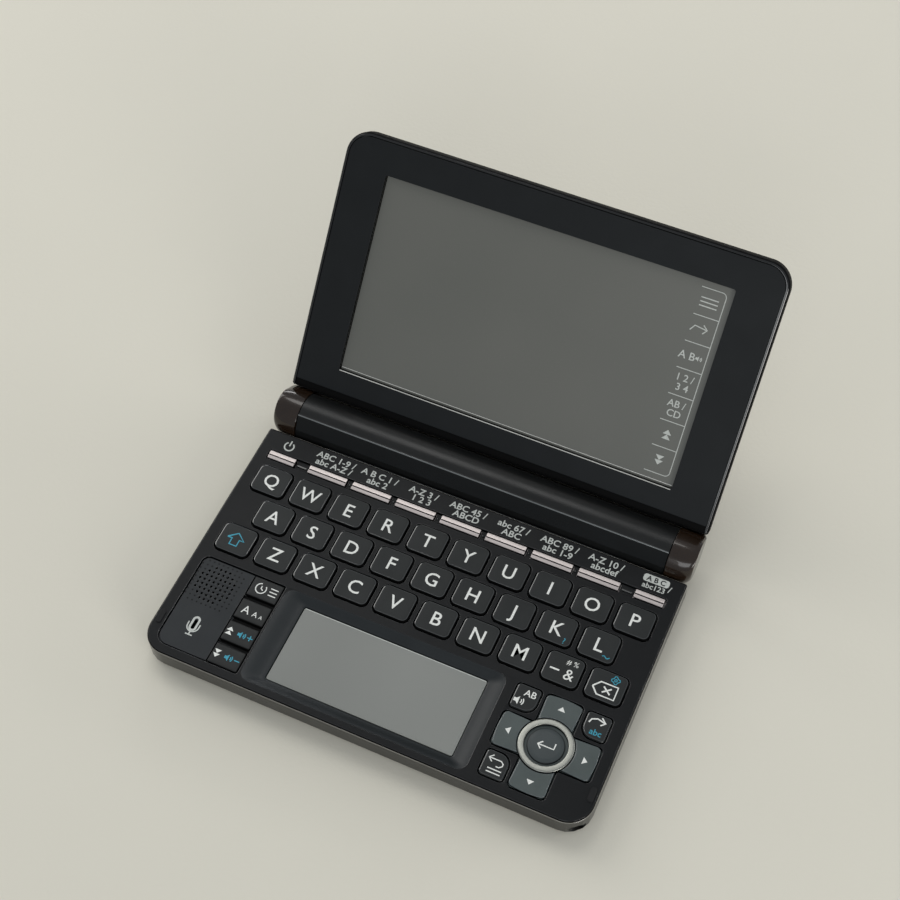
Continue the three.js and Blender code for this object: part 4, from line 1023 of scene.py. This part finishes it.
def add_microphone_sign():
    x, y = MIC
    z = COVER_TOP - SIDE_DEEP + PRINT
    mic = Piece("microphone_sign")
    mic.line(rounded(x - 0.95, y - 2.0, x + 0.95, y + 2.6, 0.95), z, 0.7, loop=True)
    mic.strokes([arc(0, -0.6, 1.95, 180, 360, 14), [(-1.95, -0.6), (-1.95, 0.5)], [(1.95, -0.6), (1.95, 0.5)],
                 [(0, -2.5), (0, -3.6)], [(-1.2, -3.7), (1.2, -3.7)]], MIC, z, 0.42)
    mic.finish(GREY_INK, "base", "legend_white")


def add_stops():
    """Rubber stops that the closed lid rests on."""
    left, front, right, back = STOP_EDGES
    stops = Piece("cover_stops")
    for x in (-STOP_X, STOP_X):
        outline = growing((x + left, front, x + right, back), 0.9)
        stops.loft([(outline(0), COVER_TOP - 0.5)] + rim_sections(outline, COVER_TOP + STOP_PROUD, 0.3))
    stops.finish(RUBBER, "base", "foot_rubber")


def add_trough_links():
    """Small ribs in the wide gaps between bars, and pips in the narrow ones."""
    z = COVER_TOP - TROUGH_DEEP
    y = (TROUGH_EDGES[1] + TROUGH_EDGES[3]) / 2
    links = Piece("trough_links")
    for a, b in zip(BAR_NODES, BAR_NODES[1:]):
        left = edges_of(a, BAR_FLANGE)[2]
        right = edges_of(b, BAR_FLANGE)[0]
        if right - left > 4:
            links.loft([(rounded(left + 0.8, y - 0.55, right - 0.8, y + 0.15, 0.25), z - 0.2),
                        (rounded(left + 0.9, y - 0.45, right - 0.9, y + 0.05, 0.2), z + 0.35)])
        else:
            links.lathe([(0.34, z - 0.2), (0.34, z + 0.3), (0.2, z + 0.42), (0, z + 0.45)],
                        (left + right) / 2, y, 16)
    links.finish(COVER_EDGE, "base", "cover_plastic")


def add_cover():
    open_spots, blind = grille_spots()
    add_speaker_panel(open_spots)
    add_top_cover()
    add_skirt()
    add_well()
    add_dimples(blind)
    add_microphone_sign()
    add_stops()
    add_trough_links()


def add_handwriting_panel():
    left, _, right, back = PANEL_EDGES
    top = WELL_FLOOR - 0.15
    rebate = top - 0.95
    outline = growing(PANEL_EDGES, PANEL_RADIUS)
    glass = Piece("handwriting_glass")
    glass.loft([(outline(PANEL_FLANGE), top - 1.85), (outline(PANEL_FLANGE), rebate), (outline(0), rebate)]
               + rim_sections(outline, top, 0.12, 2))
    glass.finish(PANEL_FILM, "base", "panel_film", ["handwriting_panel"])
    # Pale line painted along the panel's back edge as a highlight
    back_highlight = Piece("handwriting_back_painted_highlight")
    back_highlight.line([(left + 0.35, back - 0.25), (right - 0.35, back - 0.25)], top + 0.01, 0.22)
    back_highlight.finish(GREY_INK, "base", "legend_white")


# Lid
LID_TOP = 98.0
LID_THICK = 6.5
LID_BACK_R = 2.4
LID_RIM_WIDE = 0.95
LID_RIM_TALL = 1.15
LID_CORNER_R = 8
LID_SEAT = LID_FACE - 1.25
SIDE_RISE = 0.78
HEEL_RIM = 0.35
HEEL_STEP = 2.8
APRON_START = -22
APRON_END = -50
APRON_TAIL = 11.6
CAP_INNER = 65.5
BEZEL_INSET = 1.35
BEZEL_THICK = 1.0
SCREEN_EDGES = (-58.7, 19.6, 58.7, 86.3)
SCREEN_OUTLINE = growing(SCREEN_EDGES, 0.8)
SCREEN_FLANGE = 2.2
SCREEN_PRINT = DISPLAY_FACE + 0.02


def lid_outline(inset, heel_inset, steps=16):
    half = HALF_WIDTH - inset
    top = max(LID_CORNER_R - inset, 0.8)
    heel = max(0.8 - heel_inset, 0.2)
    return rounded(-half, LID_HEEL + heel_inset, half, LID_TOP - inset, [heel, heel, top, top], steps)


def is_lid_side(middle, normal):
    return abs(normal.z) < SIDE_RISE


# Heel faces, painted near-black as shade in the hinge crevice
def is_lid_heel(middle, normal):
    return middle.y < LID_HEEL + 0.2 and normal.z < 0.4


# The low strip along the heel and the bezel's walls, which take near-black painted shade
def is_bezel_painted_shade(middle, normal):
    return middle.y < LID_HEEL + HEEL_STEP or abs(normal.z) < 0.4


def add_lid_shell():
    """Tray of the lid with a rounded back and rim, and the apron that hugs the barrel under its heel."""
    back = LID_FACE - LID_THICK
    sections = []
    turns = [math.radians(15 * k) for k in range(7)]
    for t in turns:
        inset = LID_BACK_R * (1 - math.sin(t))
        sections.append((lid_outline(inset, inset), back + LID_BACK_R * (1 - math.cos(t))))
    for t in turns:
        over = 1 - math.cos(t)
        sections.append((lid_outline(LID_RIM_WIDE * over, HEEL_RIM * over),
                         LID_FACE - LID_RIM_TALL * (1 - math.sin(t))))
    step, pocket = lid_outline(1.1, 0.5), lid_outline(2.4, 1.3)
    sections += [(step, LID_FACE), (step, LID_SEAT), (pocket, LID_SEAT), (pocket, back + 1.3)]
    shell = Piece("lid_shell", LID)
    shell.loft(sections)
    end = math.radians(APRON_END)
    apron = arc(0, 0, LID_HEEL + 0.1, APRON_START, APRON_END, 12) + [
        (APRON_TAIL * math.cos(end), APRON_TAIL * math.sin(end)), (LID_HEEL + 1, back + LID_BACK_R / 2),
        (LID_HEEL + 1, LID_SEAT)]
    section = [(-z, y) for y, z in apron]
    shell.loft([(section, -CAP_INNER), (section, CAP_INNER)], turn=ALONG)
    # The heel is painted near-black as shade
    shell.finish(LID_GLOSS, "lid", "shell_plastic", ["lid_back_cover"],
                 accents=[(LID_SIDE, is_lid_side), (GAP_PAINTED_SHADE, is_lid_heel)])


def add_bezel():
    """Frame round the screen, with a low strip along the lid's heel painted near-black as shade."""
    half = HALF_WIDTH - BEZEL_INSET
    low = rounded(-half, LID_HEEL + 0.6, half, LID_HEEL + HEEL_STEP + 0.5, 0.2)
    bezel = Piece("lid_bezel_plate", LID)
    outlines = [lid_outline(BEZEL_INSET, HEEL_STEP), SCREEN_OUTLINE(0)]
    bezel.plate(outlines, LID_FACE - BEZEL_THICK, LID_FACE, 0.12)
    bezel.loft([(low, LID_FACE - BEZEL_THICK), (low, LID_FACE - 0.3)])
    bezel.finish(BEZEL_PLASTIC, "lid", "bezel_plastic", ["lid_bezel"], accents=[(GAP_PAINTED_SHADE, is_bezel_painted_shade)])


def add_screen():
    screen = Piece("main_display_glass", LID)
    flange = SCREEN_OUTLINE(SCREEN_FLANGE)
    screen.loft([(flange, DISPLAY_FACE - 2.0), (flange, DISPLAY_FACE - 0.1),
                 (SCREEN_OUTLINE(SCREEN_FLANGE - 0.1), DISPLAY_FACE)])
    screen.finish(SCREEN_FILM, "lid", "screen_film", ["main_display"])


# Soft keys printed down the right of the screen
SOFT_LEFT = 48.3
SOFT_X = 51.9
SOFT_EDGE = 56.5
SOFT_BOTTOM = 22.5
SOFT_CELL = 8.78
SOFT_COUNT = 7
SOFT_CORNER_R = 1.5
SOFT_LINE = 0.26
SOFT_STROKE = 0.36


def add_soft_keys():
    top = SOFT_BOTTOM + SOFT_COUNT * SOFT_CELL
    bend = SOFT_EDGE - SOFT_CORNER_R
    outer = (arc(bend, SOFT_BOTTOM + SOFT_CORNER_R, SOFT_CORNER_R, 270, 360, 6)
             + arc(bend, top - SOFT_CORNER_R, SOFT_CORNER_R, 0, 90, 6))
    levels = [(SOFT_BOTTOM, bend), (top, bend)]
    levels += [(SOFT_BOTTOM + k * SOFT_CELL, SOFT_EDGE) for k in range(1, SOFT_COUNT)]
    lines = Piece("screen_soft_key_lines", LID)
    for points in [outer] + [[(SOFT_LEFT, y), (x, y)] for y, x in levels]:
        lines.line(points, SCREEN_PRINT, SOFT_LINE)
    lines.finish(GREY_INK, "lid", "legend_white")

    cells = [SOFT_BOTTOM + (k + 0.5) * SOFT_CELL for k in range(SOFT_COUNT)]
    down, up, letters, numbers, voice, jump, menu = cells
    signs = Piece("screen_soft_key_signs", LID)
    for y, turn in ((down, 180), (up, 0)):
        for rise in (0.85, -0.75):
            signs.patch(triangle(SOFT_X, y + rise, 1.4, 1.6, turn), SCREEN_PRINT)
    for y, upper, lower in ((letters, "AB /", "CD"), (numbers, "1 2 /", "3 4")):
        signs.word(upper, SOFT_X, y + 1.6, SCREEN_PRINT, 2.2, bold=0.03)
        signs.word(lower, SOFT_X, y - 1.6, SCREEN_PRINT, 2.2, bold=0.03)
    signs.word("A B", SOFT_X - 1.6, voice, SCREEN_PRINT, 2.4, bold=0.03)
    body, waves = speaker_sign(2.2, 0, 1.0)
    signs.patch(moved(body, SOFT_X, voice), SCREEN_PRINT)
    signs.strokes(waves, (SOFT_X, voice), SCREEN_PRINT, 0.28)
    hop = [[(-3.2, -0.8), (-2.0, 1.0), (1.8, 0.5)], [(0.6, 1.8), (2.1, 0.5), (0.9, -0.9)]]
    signs.strokes(hop, (SOFT_X, jump), SCREEN_PRINT, SOFT_STROKE)
    signs.strokes([[(-2.8, y), (2.8, y)] for y in (1.3, 0, -1.3)], (SOFT_X, menu), SCREEN_PRINT, SOFT_STROKE)
    signs.finish(GREY_INK, "lid", "legend_white")


def add_screen_painted_edges():
    left, front, right, back = SCREEN_EDGES
    # Dark line painted on the film along the window's left wall as shade
    side_shade = Piece("screen_side_painted_shade", LID)
    side_shade.line([(left + 0.16, front + 0.2), (left + 0.16, back - 0.2)], SCREEN_PRINT, 0.34)
    side_shade.finish(GAP_PAINTED_SHADE, "lid", "bezel_plastic")

    # Pale lines painted as highlights: one on the bezel's lip under the screen, one on the film
    shine = Piece("screen_lower_painted_highlight", LID)
    shine.line([(left + 0.3, front - 0.3), (right - 0.3, front - 0.3)], LID_FACE - 0.05, 0.36, 0.28)
    shine.line([(left + 0.5, front + 0.7), (right - 0.5, front + 0.7)], SCREEN_PRINT, 0.2)
    shine.finish(SCREEN_EDGE_PAINTED_HIGHLIGHT, "lid", "ring_metal")


def add_lid():
    add_lid_shell()
    add_bezel()
    add_screen()
    add_soft_keys()
    add_screen_painted_edges()


# Hinge barrel, its battery cover and the lacquered caps that turn with the lid
BARREL_R = 8.4
BARREL_CREASE = (92.42, 16.46)
CREASE_WIDE = 0.22
CAP_HEEL_GAP = 0.3
CAP_HEEL_R = 3.0
CAP_ROUND = 5.0
CAP_END_SHARE = 0.69
CAP_APEX = (5.5, 5.0)
JOURNAL_R = 2.6
JOURNAL_LENGTH = 6.0
TONGUE_INSET = 2.0
TONGUE_WIDTH = 3.4
TONGUE_LENGTH = 6.0
TONGUE_BOTTOM = -6.93
TONGUE_TOP = -5.63
FOOT_TOP = 0.59


# The barrel's front facet, which takes painted shade
def is_facet(middle, normal):
    return normal.y < -0.7 and normal.z > 0.3


def is_front_crease(middle):
    return math.dist((middle.y, middle.z), BARREL_CREASE) < 0.3


def is_foot(middle, normal):
    return middle.z < FOOT_TOP


def cap_outline(scale):
    """Section of a cap in (y, z), shrunk towards its apex, as (-z, y) pairs for a skin along the hinge."""
    y, z = LID_HEEL - CAP_HEEL_GAP - CAP_HEEL_R, CAP_HEEL_R - BARREL_R
    lean = math.degrees(math.atan2(z, y))
    spread = math.degrees(math.acos((BARREL_R - CAP_HEEL_R) / math.hypot(y, z)))
    section = (arc(0, 0, BARREL_R, lean + spread, lean - spread + 360, 72)
               + arc(y, z, CAP_HEEL_R, lean - spread, lean + spread, 18)[1:-1])
    apex_y, apex_z = CAP_APEX
    return [(-(apex_z + (pz - apex_z) * scale), apex_y + (py - apex_y) * scale) for py, pz in section]


def add_hinge():
    # The eased crease takes the pale painted highlight, the facet painted shade
    softened("hinge_barrel", [BARREL_PLASTIC, FACET_PAINTED_SHADE, BARREL_EDGE_PAINTED_HIGHLIGHT], CREASE_WIDE,
             [is_facet], is_front_crease)
    # The battery cover's eased edges take the pale painted highlight
    softened("battery_cover", [BARREL_PLASTIC, BARREL_EDGE_PAINTED_HIGHLIGHT], 0.15)
    stations = [(0.975, CAP_INNER), (0.99, CAP_INNER + 0.05), (1.0, CAP_INNER + 0.2)]
    for k in range(13):
        t = math.radians(90 * k / 12)
        scale = 1 - (1 - CAP_END_SHARE) * (1 - math.cos(t))
        stations.append((scale, HALF_WIDTH - CAP_ROUND * (1 - math.sin(t))))
    journal = circle(0, 0, JOURNAL_R)
    start = CAP_INNER + TONGUE_INSET
    for node, side in (("hinge_cap_left", -1), ("hinge_cap_right", 1)):
        cap = Piece(node + "_lacquered", LID)
        cap.loft([(cap_outline(scale), side * x) for scale, x in stations], turn=ALONG)
        ends = [(journal, side * (CAP_INNER - JOURNAL_LENGTH)), (journal, side * (CAP_INNER + 1))]
        cap.loft(ends, turn=ALONG)
        left, right = sorted((side * start, side * (start + TONGUE_WIDTH)))
        tongue = rounded(left, 2, right, LID_HEEL + TONGUE_LENGTH, 0.3, 3)
        cap.loft([(tongue, TONGUE_BOTTOM), (tongue, TONGUE_TOP)])
        cap.finish(CAP_LACQUER, "lid", "cap_plastic", [node])


# Four cross-head screws under the case, standing less than the feet
SCREW_INSET = 5.0
SCREW_R = 1.9
SCREW_FACE = 0.34
SLOT_HALF = 0.9
SLOT_FACE = 0.32


# Inside of the cross slots, painted near-black as shade
def is_screw_slot(middle, normal):
    return middle.z < SCREW_FACE - 0.001


def add_case():
    softened("base_bottom_case", [SHELL_PLASTIC, RUBBER, SHELL_PLASTIC], 0.1, [is_foot])
    left, front, right, back = edges_of("main_board", SCREW_INSET)
    head = [(SCREW_R, 0.7), (SCREW_R, 0.42), (SCREW_R - 0.15, SCREW_FACE), (0, SCREW_FACE)]
    for k, place in enumerate(((left, front), (right, front), (left, back), (right, back))):
        screw = Piece(f"case_screw_{k + 1}")
        screw.lathe(head, *place, 32)
        for slot in ([(-SLOT_HALF, 0), (SLOT_HALF, 0)], [(0, -SLOT_HALF), (0, SLOT_HALF)]):
            screw.line(moved(slot, *place), SLOT_FACE, 0.36, 0.02)
        screw.finish(SCREW_STEEL, "base", "screw_steel", accents=[(GAP_PAINTED_SHADE, is_screw_slot)])


def dress_rest():
    dress("main_board", BOARD_GREEN)
    dress("battery_cells", CELL_METAL)
    dress("stylus", STYLUS_PLASTIC)


# Room, lights and camera
WARM = (1.0, 0.985, 0.955)
SKY = (0.90, 0.95, 1.0, 1)
SKY_STRENGTH = 0.46
CAMERA_PLACE = (0.111742, -0.243272, 0.453394)
CAMERA_TURN = (33.5227, 0.8291, 24.3327)
CAMERA_LENS = 64.18


def add_room():
    g = Graph("studio_floor")
    cloud = g.noise(40, 3)
    tone = g.mix(cloud * 0.25 + 0.4, (208, 204, 191), (217, 213, 200))
    finish = g.surface({"Base Color": tone, "Roughness": cloud * 0.1 + 0.75, "Specular IOR Level": 0.15,
                        "Normal": g.bump(g.noise(1.5, 2), 0.05)})
    bpy.ops.mesh.primitive_plane_add(size=8, location=(0, 0, 0))
    floor = bpy.context.object
    floor.name = "studio_floor"
    floor.data.materials.append(finish)

    world = bpy.data.worlds.new("studio")
    bpy.context.scene.world = world
    world.use_nodes = True
    back = world.node_tree.nodes["Background"]
    back.inputs["Color"].default_value = SKY
    back.inputs["Strength"].default_value = SKY_STRENGTH


def add_lamp(name, place, aim, power, size_x, size_y, tint=(1, 1, 1)):
    light = bpy.data.lights.new(name, "AREA")
    light.shape = "RECTANGLE"
    light.size = size_x
    light.size_y = size_y
    light.energy = power
    light.color = tint
    lamp = new_object(name, light)
    lamp.location = place
    lamp.rotation_euler = (Vector(aim) - Vector(place)).to_track_quat("-Z", "Y").to_euler()


def add_lights():
    add_lamp("window", (-1.15, 0.55, 0.8), (0, 0, 0), 7.6, 0.9, 0.9, WARM)
    add_lamp("front_fill", (0.2, -1.0, 0.6), (0, 0, 0.03), 1.8, 0.45, 0.4, (0.95, 0.98, 1.0))
    add_lamp("right_front", (0.85, -0.55, 0.3), (0.05, 0.05, 0.05), 3.6, 0.5, 0.3, WARM)
    add_lamp("top", (-0.3, 0.46, 1.12), (0, 0, 0), 2.1, 0.45, 0.46, (1.0, 0.99, 0.965))
    add_lamp("right_strip", (0.97, 0.6, 0.27), (0.05, 0.03, 0.01), 2.5, 0.6, 0.12)
    add_lamp("back_strip", (-0.29, 1.1, 0.38), (0, 0.03, 0.01), 2.6, 1.0, 0.13)


def add_camera():
    lens = bpy.data.cameras.new("camera")
    lens.lens = CAMERA_LENS
    lens.sensor_width = 36
    lens.clip_start = 0.01
    camera = new_object("camera", lens)
    camera.location = CAMERA_PLACE
    camera.rotation_euler = [math.radians(turn) for turn in CAMERA_TURN]
    bpy.context.scene.camera = camera


add_camera()
add_main_keys()
add_side_keys()
add_corner_keys()
add_bars()
add_bar_labels()
add_cursor()
add_cover()
add_handwriting_panel()
add_case()
add_lid()
add_hinge()
dress_rest()
add_room()
add_lights()
bpy.context.scene.view_settings.view_transform = "Standard"

bpy.context.view_layer.update()
